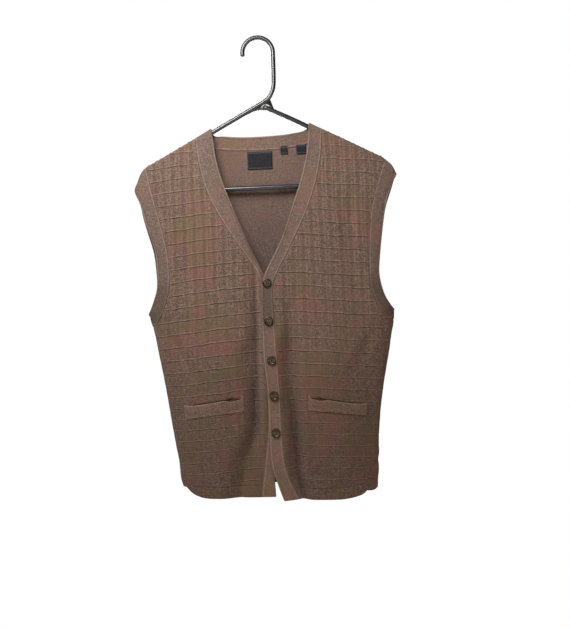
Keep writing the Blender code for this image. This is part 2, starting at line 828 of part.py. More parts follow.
def build_front_band(half):
    """Front band: down the V and the placket, its seam edge beside the panel's."""
    points = []
    for index in range(LAST_ROW + 1):
        if index <= FIRST:
            drop = drop_at(ROUND_ROWS[index])
            x_seam = seam_x(half, ridge(SEAM[half](-165)) - drop, -GAP / 2)
            z_free = ridge(FREE[half](-150)) - drop
            x_free = FREE[half](z_free)
            ends = [(x_seam, ridge(x_seam) - drop), (x_free, ridge(x_free) - drop)]
            row = []
            for share in BAND_COLUMNS:
                x = mix(ends[0][0], ends[1][0], share)
                row.append(cloth(FRONT, x, ridge(x) - drop, drop, half))
            points.append(row)
            continue
        z_seam = ROWS[index - FIRST - 1][0 if half == "left" else 1]
        x_seam = seam_x(half, z_seam, -GAP / 2)
        z_free = z_seam + BAND_RISE * (1 - ramp(385, 440, -z_seam))
        x_free = FREE[half](z_free)
        row = []
        for share in BAND_COLUMNS:
            tuck = TUCK_AT(z_seam) * share * share if half == "left" else 0.0
            x, z = mix(x_seam, x_free, share), mix(z_seam, z_free, share)
            row.append(cloth(FRONT, x, z, None, half, -tuck))
        points.append(row)
    faces = grid_faces(len(points), len(BAND_COLUMNS))
    new_object("front_band_" + half, flat(points), faces, "band_knit", BAND_WALL)
    return Sheet(points, flip=half == "left")


def build_neck_band():
    """Back neck band, its ends on the shoulder line beside the front bands' ends."""
    stations = []
    for arc in ROUND_ROWS[:NECK_ROW + 1]:
        drop = drop_at(arc)
        stations.append((NECK_SEAM_X[0] + GAP / 2, drop, NECK_FREE_X[0], drop))
    shift = GAP / 2
    stations += [(x, ridge(x) - z - shift, xf, ridge(xf) - zf) for x, z, xf, zf in NECK]
    for arc in reversed(ROUND_ROWS[:NECK_ROW + 1]):
        drop = drop_at(arc)
        stations.append((NECK_SEAM_X[1] - GAP / 2, drop, NECK_FREE_X[1], drop))
    points = []
    for x_seam, drop_seam, x_free, drop_free in stations:
        z_seam, z_free = ridge(x_seam) - drop_seam, ridge(x_free) - drop_free
        row = []
        for share in BAND_COLUMNS:
            x = mix(x_seam, x_free, share)
            drop = mix(drop_seam, drop_free, share)
            row.append(cloth(BACK, x, ridge(x) - drop, drop))
        points.append(row)
    faces = grid_faces(len(points), len(BAND_COLUMNS))
    new_object("back_neck_band", flat(points), faces, "band_knit", BAND_WALL)


def cuff_edge(table, side, column):
    """Points down an armhole's free edge, from the shoulder tip to the underarm."""
    path = smooth([(row[0], row[column]) for row in table])
    top, bottom = table[-1][0], table[0][0]
    points = []
    steps = 60
    for k in range(steps + 1):
        z = mix(top, bottom, (k / steps) ** 1.5)
        x = path(z)
        points.append(cloth(side, x, z, top - z))
    points[0].y = 0.0
    points[-1].y = 0.0
    return points


def along(points, share):
    """Point at a share of the length of a line of points."""
    lengths = [0.0]
    for one, two in zip(points, points[1:]):
        lengths.append(lengths[-1] + (two - one).length)
    target = share * lengths[-1]
    i = min(max(bisect_right(lengths, target) - 1, 0), len(points) - 2)
    return points[i].lerp(points[i + 1], (target - lengths[i]) / max(lengths[i + 1] - lengths[i], 1e-9))


def seam_line(sheet, nodes, inner):
    """Armhole seam of a panel and, at each point, the direction out of the panel."""
    line = [sheet.points[i][j] for i, j in nodes]
    out = []
    for k, point in enumerate(line):
        run = (line[min(k + 1, len(line) - 1)] - line[max(k - 1, 0)]).normalized()
        i, j = inner[k]
        away = point - sheet.points[i][j]
        away -= run * away.dot(run)
        out.append(away.normalized())
    return line, out


def shares_of(line):
    lengths = [0.0]
    for one, two in zip(line, line[1:]):
        lengths.append(lengths[-1] + (two - one).length)
    return [length / lengths[-1] for length in lengths]


def build_armhole_band(half, front, back):
    """Ring of band from the armhole seam to its free edge, front, underarm and back."""
    table = CUFF_LEFT if half == "left" else CUFF_RIGHT
    edge = front.cols - 1
    rows = range(UNDERARM_ROW + 1)
    front_line, front_out = seam_line(front, [(i, edge) for i in rows], [(i, edge - 1) for i in rows])
    nodes = [(i, WRAP) for i in rows] + [(UNDERARM_ROW, j) for j in reversed(range(WRAP))]
    inner = [(i, WRAP + 1) for i in rows] + [(UNDERARM_ROW + 1, j) for j in reversed(range(WRAP))]
    inner[UNDERARM_ROW] = (UNDERARM_ROW + 1, WRAP + 1)
    if half == "right":
        nodes = [(i, back.cols - 1 - j) for i, j in nodes]
        inner = [(i, back.cols - 1 - j) for i, j in inner]
    back_line, back_out = seam_line(back, nodes, inner)
    for k, widen in ((UNDERARM_ROW - 1, 1.6), (UNDERARM_ROW, 2.2), (UNDERARM_ROW + 1, 1.3)):
        back_out[k] = back_out[k] * widen
    corner = (front_out[-1] + back_out[-1]).normalized()
    front_out[-1] = back_out[-1] = corner * 1.35
    top = (front_out[0] + back_out[0]).normalized()
    front_out[0] = back_out[0] = top
    rings = []
    for line, out, side, column in ((front_line, front_out, FRONT, 1), (back_line, back_out, BACK, 2)):
        free = cuff_edge(table, side, column)
        ring = []
        for point, away, share in zip(line, out, shares_of(line)):
            start = point + away * GAP
            end = along(free, mix(0.004, 0.985, share))
            reach = (end - start).length
            away = away.normalized()
            aim = (end - start) / reach
            ring.append([bend(start, away * reach, end, (2 * aim - away) * reach, v) for v in BAND_COLUMNS])
        rings.append(ring)
    loop = rings[0] + rings[1][::-1]
    loop.append(loop[0])
    cols = len(BAND_COLUMNS)
    count = len(loop) - 1
    faces = []
    for face in grid_faces(len(loop), cols):
        faces.append(tuple(v % (count * cols) for v in face))
    new_object("armhole_band_" + half, flat(loop[:-1]), faces, "band_knit", BAND_WALL)


def bend(start, leave, end, arrive, t):
    """Cubic between two points with the directions at its ends."""
    a = 2 * t**3 - 3 * t**2 + 1
    b = t**3 - 2 * t**2 + t
    c = -2 * t**3 + 3 * t**2
    d = t**3 - t**2
    return a * start + b * leave + c * end + d * arrive


def build_pocket(half, sheet, mouth):
    """Welt on the lower lip, moved out, and the inner layer behind the mouth, moved in."""
    first, last = mouth
    _, lower = lips(sheet, mouth)
    low = Sheet(sheet.points[:MOUTH_ROW] + [lower] + sheet.points[MOUTH_ROW + 1 :], sheet.flip)
    along_mouth = [first - 0.12] + list(range(first, last + 1)) + [last + 0.12]
    off = (KNIT_WALL + WELT_WALL) / 2 + GAP
    welt = [[low.at(MOUTH_ROW + row, j, off) for j in along_mouth] for row in WELT_ROWS]
    welt[0] = [point + Vector((0, 0, WELT_LIFT)) for point in welt[0]]
    faces = grid_faces(len(welt), len(along_mouth))
    new_object("pocket_welt_" + half, flat(welt), faces, "welt_knit", WELT_WALL)

    close = (KNIT_WALL + LINING_WALL) / 2 + GAP + 0.25
    behind = [first - 0.15] + list(range(first, last + 1)) + [last + 0.15]
    lining = []
    for row in LINING_ROWS:
        line = []
        for j in behind:
            side_share = (j - behind[0]) / (behind[-1] - behind[0])
            row_share = (row - LINING_ROWS[0]) / (LINING_ROWS[-1] - LINING_ROWS[0])
            open_side = ramp(0, 0.16, side_share) * ramp(0, 0.16, 1 - side_share)
            open_row = ramp(0, 0.12, row_share) * ramp(0, 0.3, 1 - row_share)
            line.append(sheet.at(MOUTH_ROW + row, j, -mix(close, LINING_OFF, open_side * open_row)))
        lining.append(line)
    faces = grid_faces(len(lining), len(behind))
    new_object("pocket_lining_" + half, flat(lining), faces, "pocket_knit", LINING_WALL)


def cloth_normal(side, x, z, half=None):
    """Normal out of the vest."""
    across = cloth(side, x + 1, z, None, half) - cloth(side, x - 1, z, None, half)
    upward = cloth(side, x, z + 1, None, half) - cloth(side, x, z - 1, None, half)
    normal = across.cross(upward).normalized()
    return normal if normal.y * side > 0 else -normal


def build_labels():
    """Labels and tabs inside the back neck, each a thin plate following the cloth."""
    off = (BAND_WALL + LABEL_WALL) / 2 + GAP + 0.1
    for name, x_mid, z_mid, wide, tall in LABELS:
        points = []
        for row in (0.5, 0.0, -0.5):
            line = []
            for column in (-0.5, -0.17, 0.17, 0.5):
                x, z = x_mid + column * wide, z_mid + row * tall
                line.append(cloth(BACK, x, z) - cloth_normal(BACK, x, z) * off)
            points.append(line)
        new_object(name, flat(points), grid_faces(3, 4), "label_satin", LABEL_WALL)


def build_buttons():
    """Round four-hole buttons with a raised rim, lying on the right band."""
    cutters = bpy.data.collections["cutters"]
    for number, (x, z) in enumerate(BUTTONS, 1):
        mesh = bpy.data.meshes.new("button")
        verts = [(MM * r, 0, MM * h) for r, h in BUTTON_PROFILE]
        mesh.from_pydata(verts, [(k, k + 1) for k in range(len(verts) - 1)], [])
        obj = bpy.data.objects.new(f"button_{number}", mesh)
        bpy.data.collections[COLLECTION].objects.link(obj)
        obj.data.materials.append(bpy.data.materials["button_plastic"])
        turn = obj.modifiers.new("Turn", "SCREW")
        turn.steps = turn.render_steps = BUTTON_STEPS
        turn.use_merge_vertices = True
        turn.merge_threshold = 0.0001
        turn.use_smooth_shade = True
        drill = drill_mesh(f"holes_{number}")
        cutters.objects.link(drill)
        cut = obj.modifiers.new("Holes", "BOOLEAN")
        cut.operation = "DIFFERENCE"
        cut.solver = "EXACT"
        cut.object = drill
        normal = cloth_normal(FRONT, x, z, "right")
        seat = cloth(FRONT, x, z, None, "right") + normal * (BAND_WALL / 2 + GAP + 0.1)
        for item in (obj, drill):
            item.rotation_mode = "QUATERNION"
            item.rotation_quaternion = normal.to_track_quat("Z", "Y")
            item.location = seat * MM


def drill_mesh(name):
    """Four upright pins that cut a button's thread holes."""
    bm = bmesh.new()
    for sx in (-1, 1):
        for sy in (-1, 1):
            made = bmesh.ops.create_cone(
                bm, cap_ends=True, segments=10, radius1=HOLE_R * MM, radius2=HOLE_R * MM, depth=8 * MM
            )
            bmesh.ops.translate(bm, verts=made["verts"], vec=(sx * HOLE_OFF * MM, sy * HOLE_OFF * MM, MM))
    mesh = bpy.data.meshes.new(name)
    bm.to_mesh(mesh)
    bm.free()
    obj = bpy.data.objects.new(name, mesh)
    obj.hide_render = True
    obj.display_type = "WIRE"
    return obj


def arc_points(centre, radius, start, end, steps):
    """x, z round an arc between two angles in degrees."""
    made = []
    for k in range(steps + 1):
        turn = math.radians(mix(start, end, k / steps))
        made.append((centre[0] + radius * math.cos(turn), centre[1] + radius * math.sin(turn)))
    return made


def hanger_path():
    """x, z and swell of the tube, from the hook's tip round to the end of the right arm."""
    hook = arc_points((0, HOOK_CENTRE_Z), HOOK_R, 186, 0, 22)
    left = [p for p in reversed(ARMS) if p[0] < -6]
    slope_left = math.degrees(math.atan2(212.0 - 188.0, 188.0 - 143.0))
    slope_right = math.degrees(math.atan2(211.9 - 181.6, 196.6 - 139.0))
    tip_left = arc_points(TIP_CENTRES[0], TIP_R, 90 + slope_left, 270, 12)
    tip_right = arc_points(TIP_CENTRES[1], TIP_R, -90, 90 - slope_right, 12)
    right = [p for p in reversed(ARMS) if 18 < p[0] < 190]
    path = [(x, z, 1.0) for x, z in hook + list(SHANK) + left[:-1]]
    path += [(x, z, mix(1, BAR_SWELL, ramp(4, 12, k))) for k, (x, z) in enumerate(tip_left)]
    bar_z = TIP_CENTRES[0][1] - TIP_R
    path += [(x, bar_z, BAR_SWELL) for x in (-120, -60, 0, 60, 120)]
    path += [(x, z, mix(BAR_SWELL, 1, ramp(0, 8, k))) for k, (x, z) in enumerate(tip_right)]
    path += [(x, z, 1.0) for x, z in right] + [(*RIGHT_ARM_START, 1.0)]
    x0, z0, _ = path[0]
    cap = [(x0 - 0.25, z0 - 3.0, 0.35), (x0 - 0.2, z0 - 2.4, 0.7), (x0 - 0.1, z0 - 1.3, 0.93)]
    return cap + path


def solid_of(curve, name):
    """A curve's evaluated mesh, its caps welded, as an object that replaces the curve."""
    helper = bpy.data.objects.new(name + "_line", curve)
    if curve.dimensions == "2D":
        helper.rotation_euler = (math.pi / 2, 0, 0)
    bpy.context.scene.collection.objects.link(helper)
    bpy.context.view_layer.update()
    graph = bpy.context.evaluated_depsgraph_get()
    mesh = bpy.data.meshes.new_from_object(helper.evaluated_get(graph))
    place = helper.matrix_world.copy()
    bpy.data.objects.remove(helper)
    bm = bmesh.new()
    bm.from_mesh(mesh)
    bmesh.ops.remove_doubles(bm, verts=bm.verts, dist=1e-6)
    bmesh.ops.recalc_face_normals(bm, faces=bm.faces)
    bm.to_mesh(mesh)
    bm.free()
    mesh.name = name
    obj = bpy.data.objects.new(name, mesh)
    obj.matrix_world = place
    return obj


def build_hanger():
    """Bent tube and, united with it, the web that closes the arms under the hook."""
    tube = bpy.data.curves.new("tube", "CURVE")
    tube.dimensions = "3D"
    tube.bevel_depth = TUBE_R * MM
    tube.bevel_resolution = 4
    tube.use_fill_caps = True
    line = tube.splines.new("POLY")
    path = hanger_path()
    line.points.add(len(path) - 1)
    for point, (x, z, swell) in zip(line.points, path):
        point.co = (x * MM, 0, z * MM, 1)
        point.radius = swell
    hanger = solid_of(tube, "hanger")
    bpy.data.collections[COLLECTION].objects.link(hanger)
    hanger.data.materials.clear()
    hanger.data.materials.append(bpy.data.materials["hanger_plastic"])
    hanger.data.shade_smooth()
    hanger.data.set_sharp_from_angle(angle=math.radians(50))

    plate = bpy.data.curves.new("plate", "CURVE")
    plate.dimensions = "2D"
    plate.fill_mode = "BOTH"
    plate.extrude = WEB_HALF * MM
    outline = plate.splines.new("POLY")
    outline.points.add(len(WEB) - 1)
    for point, (x, z) in zip(outline.points, WEB):
        point.co = (x * MM, z * MM, 0, 1)
    outline.use_cyclic_u = True
    web = solid_of(plate, "web")
    web.hide_render = True
    web.display_type = "WIRE"
    bpy.data.collections["cutters"].objects.link(web)
    join = hanger.modifiers.new("Web", "BOOLEAN")
    join.operation = "UNION"
    join.solver = "EXACT"
    join.object = web


def start_scene():
    for obj in list(bpy.data.objects):
        bpy.data.objects.remove(obj)
    for name in (COLLECTION, "cutters"):
        made = bpy.data.collections.new(name)
        bpy.context.scene.collection.children.link(made)
    bpy.data.collections["cutters"].hide_render = True
    for name, (colour, rough, metal) in SURFACES.items():
        material = bpy.data.materials.new(name)
        material.use_nodes = True
        shader = material.node_tree.nodes["Principled BSDF"]
        shader.inputs["Base Color"].default_value = (*colour, 1)
        shader.inputs["Roughness"].default_value = rough
        shader.inputs["Metallic"].default_value = metal
        material.diffuse_color = (*colour, 1)


def main():
    start_scene()
    fronts = {half: front_sheet(half) for half in ("left", "right")}
    back = back_sheet()
    mouths = {"left": MOUTH_LEFT, "right": MOUTH_RIGHT}
    build_back(back)
    for half, sheet in fronts.items():
        build_front(half, sheet, mouths[half])
        build_front_band(half)
        build_armhole_band(half, sheet, back)
        build_pocket(half, sheet, mouths[half])
    build_neck_band()
    build_labels()
    build_buttons()
    build_hanger()


main()
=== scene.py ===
# %% [markdown]
# # A sleeveless waffle-knit cardigan on a tubular hanger
# The frame holds the plain solids of the vest, its buttons and its hanger, in metres, with
# +Z up and the front towards -Y. Here each of them gets the finish of the real thing. The
# knit could be modelled stitch by stitch, but a vest has some hundred thousand stitches, so
# the waffle's pillows and the creases are shaped in the mesh and the yarn is a material.

import json
import math

import bmesh
import bpy
import numpy as np
from mathutils import Matrix, Vector
from mathutils.bvhtree import BVHTree

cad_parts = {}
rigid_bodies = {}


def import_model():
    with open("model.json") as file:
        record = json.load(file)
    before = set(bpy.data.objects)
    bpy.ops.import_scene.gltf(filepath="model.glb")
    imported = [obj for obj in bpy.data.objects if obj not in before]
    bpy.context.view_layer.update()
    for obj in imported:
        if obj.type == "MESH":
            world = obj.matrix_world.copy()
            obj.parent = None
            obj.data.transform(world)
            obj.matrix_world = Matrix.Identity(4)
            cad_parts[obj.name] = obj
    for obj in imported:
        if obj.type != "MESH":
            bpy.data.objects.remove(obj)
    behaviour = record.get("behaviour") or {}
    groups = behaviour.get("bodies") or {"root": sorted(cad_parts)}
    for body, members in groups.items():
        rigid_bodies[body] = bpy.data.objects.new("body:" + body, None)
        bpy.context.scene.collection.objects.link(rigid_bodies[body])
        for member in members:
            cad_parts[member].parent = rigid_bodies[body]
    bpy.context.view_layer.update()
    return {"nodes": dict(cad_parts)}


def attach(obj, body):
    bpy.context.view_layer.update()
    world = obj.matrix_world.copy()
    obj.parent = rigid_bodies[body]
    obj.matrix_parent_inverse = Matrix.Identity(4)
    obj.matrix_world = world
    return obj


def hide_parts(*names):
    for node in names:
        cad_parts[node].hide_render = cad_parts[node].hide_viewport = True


TO_MM = 1000  # millimetres in a metre

for thing in list(bpy.data.objects):
    bpy.data.objects.remove(thing)
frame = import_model()
nodes = frame["nodes"]

# %% [markdown]
# ## Camera
# The vest hangs straight down, and the camera that looks at it is tilted a little to one
# side. Turning the camera, not the vest, keeps the vest upright for every other use. The
# camera stands where a person would stand to look at it, level with the chest.

# %% Camera
AIM = Vector((0.028, 0.0, -0.467))
DISTANCE = 1.6
TILT = math.radians(2.4)
SEEN = 1.066  # metres from the top to the bottom of the view, at the hanger
SENSOR = 36  # mm, along the longer side of the view

camera = bpy.data.objects.new("camera", bpy.data.cameras.new("camera"))
bpy.context.scene.collection.objects.link(camera)
camera.data.sensor_width = SENSOR
camera.data.lens = SENSOR * DISTANCE / SEEN
right = Vector((math.cos(TILT), 0, -math.sin(TILT)))
up = Vector((math.sin(TILT), 0, math.cos(TILT)))
turn = Matrix((right, up, (0, -1, 0))).transposed().to_4x4()
camera.matrix_world = Matrix.Translation(AIM + Vector((0, -DISTANCE, 0))) @ turn
bpy.context.scene.camera = camera
print("lens:", round(camera.data.lens, 1))

# %% [markdown]
# ## Numbers on sockets
# A finish is a tree of nodes that pass numbers from socket to socket. It could be built
# node by node, which hides the sums. Wrapping a socket in a small class lets the sums be
# written as sums, since each operator adds one Math node. A second class holds the tree
# and has the one method that adds any other kind of node, and a third one is a material.


# %% Shader sums
class Number:
    """A number on a socket. An expression on it adds the Math nodes that work it out."""

    def __init__(self, tree, socket):
        self.tree = tree
        self.socket = socket

    def join(self, work, *others):
        values = dict(enumerate((self, *others)))
        return self.tree.add("Math", {"operation": work}, values)

    def __add__(self, other):
        return self.join("ADD", other)

    def __mul__(self, other):
        return self.join("MULTIPLY", other)

    def __sub__(self, other):
        return self.join("SUBTRACT", other)

    def __rsub__(self, other):
        return self * -1 + other

    def __pow__(self, other):
        return self.join("POWER", other)

    __radd__ = __add__
    __rmul__ = __mul__

    def part(self):
        """What is left after the last whole number."""
        return self.join("FRACT")

    def size(self):
        """The number without its sign."""
        return self.join("ABSOLUTE")

    def wave(self):
        """Its sine, from -1 to 1."""
        return self.join("SINE")

    def ramp(self, low, high):
        """Rises softly from 0 at low to 1 at high."""
        values = {"Value": self, "From Min": low, "From Max": high}
        return self.tree.add("MapRange", {"interpolation_type": "SMOOTHSTEP"}, values)

    def split(self):
        """The three numbers of a vector."""
        node = self.tree.add("SeparateXYZ", {}, {"Vector": self}).socket.node
        return [Number(self.tree, node.outputs[axis]) for axis in "XYZ"]


class Tree:
    """A tree of nodes, and the one way in which they are added."""

    SHARE, FIRST, SECOND, MIXED = 0, 6, 7, 2  # a Mix node's sockets for colours

    def __init__(self, owner):
        owner.use_nodes = True
        self.nodes = owner.node_tree.nodes
        self.links = owner.node_tree.links

    def add(self, kind, settings=None, values=None, out=0):
        node = self.nodes.new("ShaderNode" + kind)
        for key, value in (settings or {}).items():
            setattr(node, key, value)
        for key, value in (values or {}).items():
            self.give(node.inputs[key], value)
        return Number(self, node.outputs[out])

    def give(self, socket, value):
        """Links a number to a socket, or sets the socket to a fixed value."""
        if isinstance(value, Number):
            self.links.new(value.socket, socket)
        else:
            socket.default_value = value

    def blend(self, first, second, share, mode="MIX"):
        """Two colours, mixed by a share from 0 to 1."""
        settings = {"data_type": "RGBA", "blend_type": mode}
        values = {self.SHARE: share, self.FIRST: first, self.SECOND: second}
        return self.add("Mix", settings, values, self.MIXED)


class Finish(Tree):
    """A material with one shader."""

    def __init__(self, name, **fixed):
        self.material = bpy.data.materials.new(name)
        super().__init__(self.material)
        self.shader = self.nodes["Principled BSDF"]
        self.feed(**fixed)

    def feed(self, **values):
        """Gives the shader's sockets their values. Base_Color stands for Base Color."""
        for key, value in values.items():
            self.give(self.shader.inputs[key.replace("_", " ")], value)

    def stored(self, name):
        """The three numbers that a mesh stores for each point under a name."""
        return self.add("Attribute", {"attribute_name": name}, {}, "Vector").split()

    def place(self, stretch=(1, 1, 1)):
        """Where a point is, in metres, with each axis stretched."""
        spot = self.add("TexCoord", {}, {}, "Object")
        return self.add("VectorMath", {"operation": "MULTIPLY"}, {0: spot, 1: stretch})

    def noise(self, scale, detail=2.0, rough=0.5, where=None):
        values = {"Vector": where or self.place(), "Scale": scale, "Detail": detail, "Roughness": rough}
        return self.add("TexNoise", {}, values)

    def bump(self, height, depth, strength):
        return self.add("Bump", {}, {"Height": height, "Distance": depth, "Strength": strength})


def paint(red, green, blue):
    """A colour given as shares of light, with its alpha."""
    return (red, green, blue, 1.0)


print("shader sums ready")

# %% [markdown]
# ## Where a point lies on the vest
# The knit has to follow the cloth, not the room. Its columns run down the vest and its rows
# across, so every point needs its distance round the body. Unwrapping each piece would give
# that piece by piece, with a jump at every seam. The body's cut across is close to a flat
# oval, so the distance is worked out on one, as wide as the frame's own pieces at each height.

# %% Widths of the body
BODY_FOOT, BODY_TOP = -0.765, -0.20
SLICE_STEP, SLICE_HALF = 0.018, 0.014
FLATNESS = 0.21  # depth of the oval over its half width
SQUARENESS = 2.2  # 2 is an ellipse, and more is squarer
OVAL_POINTS = 181


def points_of(mesh):
    flat = np.empty(len(mesh.vertices) * 3, np.float32)
    mesh.vertices.foreach_get("co", flat)
    return flat.reshape(-1, 3).astype(float)


body = np.vstack([points_of(nodes[n].data) for n in ("back", "front_left", "front_right")])
heights = np.arange(BODY_FOOT, BODY_TOP, SLICE_STEP)
slices = [body[abs(body[:, 2] - z) < SLICE_HALF] for z in heights]
left_side = np.array([points[:, 0].min() for points in slices])
right_side = np.array([points[:, 0].max() for points in slices])
middle_of_body = (left_side + right_side) / 2
half_of_body = (right_side - left_side) / 2
shares = np.sin(np.linspace(-np.pi / 2, np.pi / 2, OVAL_POINTS))
outs = FLATNESS * (1 - abs(shares) ** SQUARENESS) ** (1 / SQUARENESS)
lengths = np.concatenate([[0], np.cumsum(np.hypot(np.diff(shares), np.diff(outs)))])
lengths -= lengths[OVAL_POINTS // 2]


def middle_at(z):
    return np.interp(z, heights, middle_of_body)


def half_at(z):
    return np.interp(z, heights, half_of_body)


def round_body(p):
    """Distance round the body from its middle, in metres."""
    middle, half = middle_at(p[:, 2]), half_at(p[:, 2])
    share = np.clip((p[:, 0] - middle) / half, -1, 1)
    return middle + half * np.interp(share, shares, lengths)


print("half width at the chest:", round(float(half_at(-0.5)), 3))

# %% [markdown]
# ## Creases
# Hung cloth keeps a few long soft troughs and ridges, never at even distances. A cloth
# simulation would make them anew each time it is run, and could open the seams and pockets.
# So each is listed: its depth, its half width, and the points that it runs through
# from top to bottom. The two deepest run down beside the buttoned strip.

# %% Table of creases
FRONT, BACK = -1, 1
# side, depth (mm, inward is negative), half width (mm), points (x, z) from the top down
CREASES = (
    # beside the buttoned strip
    (FRONT, -13.0, 12, ((-19, -350), (-17, -452), (-18, -520), (-23, -590), (-26, -660), (-37, -716),
                        (-52, -790))),
    (FRONT, -11.5, 12, ((38, -420), (38, -520), (37, -600), (38, -670), (41, -730), (47, -800))),
    (FRONT, -3.4, 3.4, ((39, -610), (41, -680), (43, -725), (45, -790))),
    (FRONT, 1.8, 6, ((23, -600), (24, -680), (26, -770))),
    # the rest of the left front
    (FRONT, -1.6, 6, ((-62, -560), (-70, -610), (-66, -660))),
    (FRONT, -1.9, 8, ((-181, -472), (-160, -508), (-137, -548), (-118, -580))),
    (FRONT, 1.3, 9, ((-166, -470), (-146, -500), (-124, -536), (-104, -566))),
    (FRONT, -1.2, 7, ((-172, -520), (-163, -570), (-157, -628), (-160, -684))),
    (FRONT, 1.1, 13, ((-66, -452), (-74, -520), (-69, -590))),
    (FRONT, -1.6, 10, ((-112, -640), (-120, -694), (-113, -764))),
    (FRONT, 1.3, 12, ((-84, -628), (-78, -700), (-86, -768))),
    (FRONT, -1.1, 10, ((-142, -300), (-136, -346), (-141, -402), (-152, -446))),
    (FRONT, 0.9, 12, ((-92, -300), (-80, -352), (-62, -412))),
    (FRONT, -0.9, 8, ((-116, -214), (-120, -262), (-112, -322))),
    (FRONT, -1.0, 9, ((-160, -220), (-158, -262), (-166, -300))),
    (FRONT, -1.4, 8, ((-30, -628), (-41, -680), (-38, -750))),
    # the rest of the right front
    (FRONT, -1.3, 9, ((193, -476), (172, -512), (150, -548), (132, -590))),
    (FRONT, 1.3, 9, ((178, -474), (156, -506), (136, -540), (112, -574))),
    (FRONT, -1.3, 8, ((184, -530), (172, -580), (168, -640), (170, -700))),
    (FRONT, -1.2, 9, ((62, -470), (72, -520), (66, -584))),
    (FRONT, 1.2, 11, ((92, -452), (104, -512), (96, -580))),
    (FRONT, -1.5, 10, ((134, -645), (142, -700), (136, -768))),
    (FRONT, 1.2, 12, ((78, -640), (86, -704), (80, -772))),
    (FRONT, -1.3, 9, ((58, -650), (64, -702), (60, -770))),
    (FRONT, -1.0, 10, ((150, -250), (146, -318), (154, -382), (166, -440))),
    (FRONT, 0.9, 12, ((112, -232), (104, -300), (88, -372))),
    (FRONT, -0.9, 9, ((128, -200), (124, -250), (130, -306))),
    # the back
    (BACK, -1.9, 10, ((-176, -486), (-152, -524), (-126, -562))),
    (BACK, 1.4, 12, ((-158, -474), (-132, -516), (-104, -556))),
    (BACK, -1.3, 9, ((-150, -560), (-142, -630), (-147, -712))),
    (BACK, -1.5, 12, ((-30, -500), (-22, -580), (-34, -668), (-26, -756))),
    (BACK, 1.3, 14, ((26, -470), (34, -570), (24, -690), (30, -758))),
    (BACK, -1.2, 9, ((-100, -620), (-108, -690), (-100, -756))),
    (BACK, -1.8, 10, ((190, -490), (164, -530), (138, -566))),
    (BACK, 1.3, 12, ((172, -478), (146, -520), (118, -560))),
    (BACK, -1.4, 9, ((160, -570), (152, -640), (158, -730))),
    (BACK, -1.1, 14, ((-70, -214), (-62, -270), (-74, -336))),
    (BACK, -1.2, 13, ((66, -210), (58, -276), (70, -342))),
    (BACK, 1.0, 16, ((0, -230), (6, -300), (-4, -380))),
    (BACK, -1.0, 10, ((112, -600), (104, -676), (110, -748))),
)
print("creases:", len(CREASES))

# %% Push the cloth along its creases
SIDE_KEPT, SIDE_FREE = 0.002, 0.014  # distances from the side seams' plane, along Y
PLACKET_X, PLACKET_KEPT, PLACKET_FREE = 0.003, 0.013, 0.025  # the buttoned strip keeps its place
V_LOW, V_HIGH = -0.41, -0.37  # above the point of the V nothing is buttoned
FADE_POWER = 0.8  # how a crease dies out towards its ends


def soft_step(low, high, value):
    """Rises softly from 0 at low to 1 at high, or falls where high is the lower one."""
    t = np.clip((value - low) / (high - low), 0, 1)
    return t * t * (3 - 2 * t)


def bell(centre, reach, value):
    """1 at a centre, and fading on both sides of it."""
    return np.exp(-(((value - centre) / reach) ** 2))


def crease_push(p):
    """How far each point moves along Y for the creases of its own side, in metres."""
    x, down = p[:, 0] * TO_MM, -p[:, 2] * TO_MM
    total = {FRONT: np.zeros(len(p)), BACK: np.zeros(len(p))}
    for side, depth, half_width, path in CREASES:
        depths_down = [-z for _, z in path]
        centre = np.interp(down, depths_down, [x for x, _ in path])
        t = np.clip((down - depths_down[0]) / (depths_down[-1] - depths_down[0]), 0, 1)
        total[side] += depth * np.sin(np.pi * t) ** FADE_POWER * bell(centre, half_width, x)
    front_share = soft_step(-SIDE_KEPT, -SIDE_FREE, p[:, 1])
    back_share = soft_step(SIDE_KEPT, SIDE_FREE, p[:, 1])
    free = soft_step(PLACKET_KEPT, PLACKET_FREE, abs(p[:, 0] - PLACKET_X))
    free = np.maximum(free, soft_step(V_LOW, V_HIGH, p[:, 2]))
    return (back_share * total[BACK] - front_share * total[FRONT] * free) / TO_MM


print("deepest crease (mm):", max(abs(depth) for _, depth, _, _ in CREASES))

# %% [markdown]
# ## Finer cloth
# Each solid of the frame is a coarse wall of large facets. Its triangles are paired into
# squares again, and a subdivision surface rounds them. A remesh would round it as well, but
# it would blunt the rims and close the seams. Here the rims are creased, so that the pieces
# keep their size: fully where a piece is sewn to its neighbour, softly along a free edge,
# which on a knit rolls round.

# %% Rims and seams
SAME_POINT = 2e-6
RIM_ANGLE = math.radians(52)  # an edge that bends more than this is a rim
SEAM_REACH = 0.0009  # a rim this near to a neighbour is sewn to it
SEWN, ROLLED = 1.0, 0.5  # how sharp a rim stays
SEAM_LEFT, SEAM_CLOSED = 0.0013, 0.0007  # a wider gap is left as it is, a narrower one closed
CLOSED_SHARE = 0.6  # each side crosses this share of the gap, so that the two just overlap

SEWN_TO = {
    "back": ("front_left", "front_right", "back_neck_band", "armhole_band_left", "armhole_band_right"),
    "front_left": ("back", "front_band_left", "armhole_band_left"),
    "front_right": ("back", "front_band_right", "armhole_band_right"),
    "front_band_left": ("front_left", "back_neck_band"),
    "front_band_right": ("front_right", "back_neck_band"),
    "back_neck_band": ("back", "front_band_left", "front_band_right"),
    "armhole_band_left": ("front_left", "back"),
    "armhole_band_right": ("front_right", "back"),
}


def tree_of(names):
    """A search tree of some nodes, for distances to them."""
    verts, faces = [], []
    for name in names:
        start = len(verts)
        verts += [v.co.copy() for v in nodes[name].data.vertices]
        faces += [[start + k for k in f.vertices] for f in nodes[name].data.polygons]
    return BVHTree.FromPolygons(verts, faces)


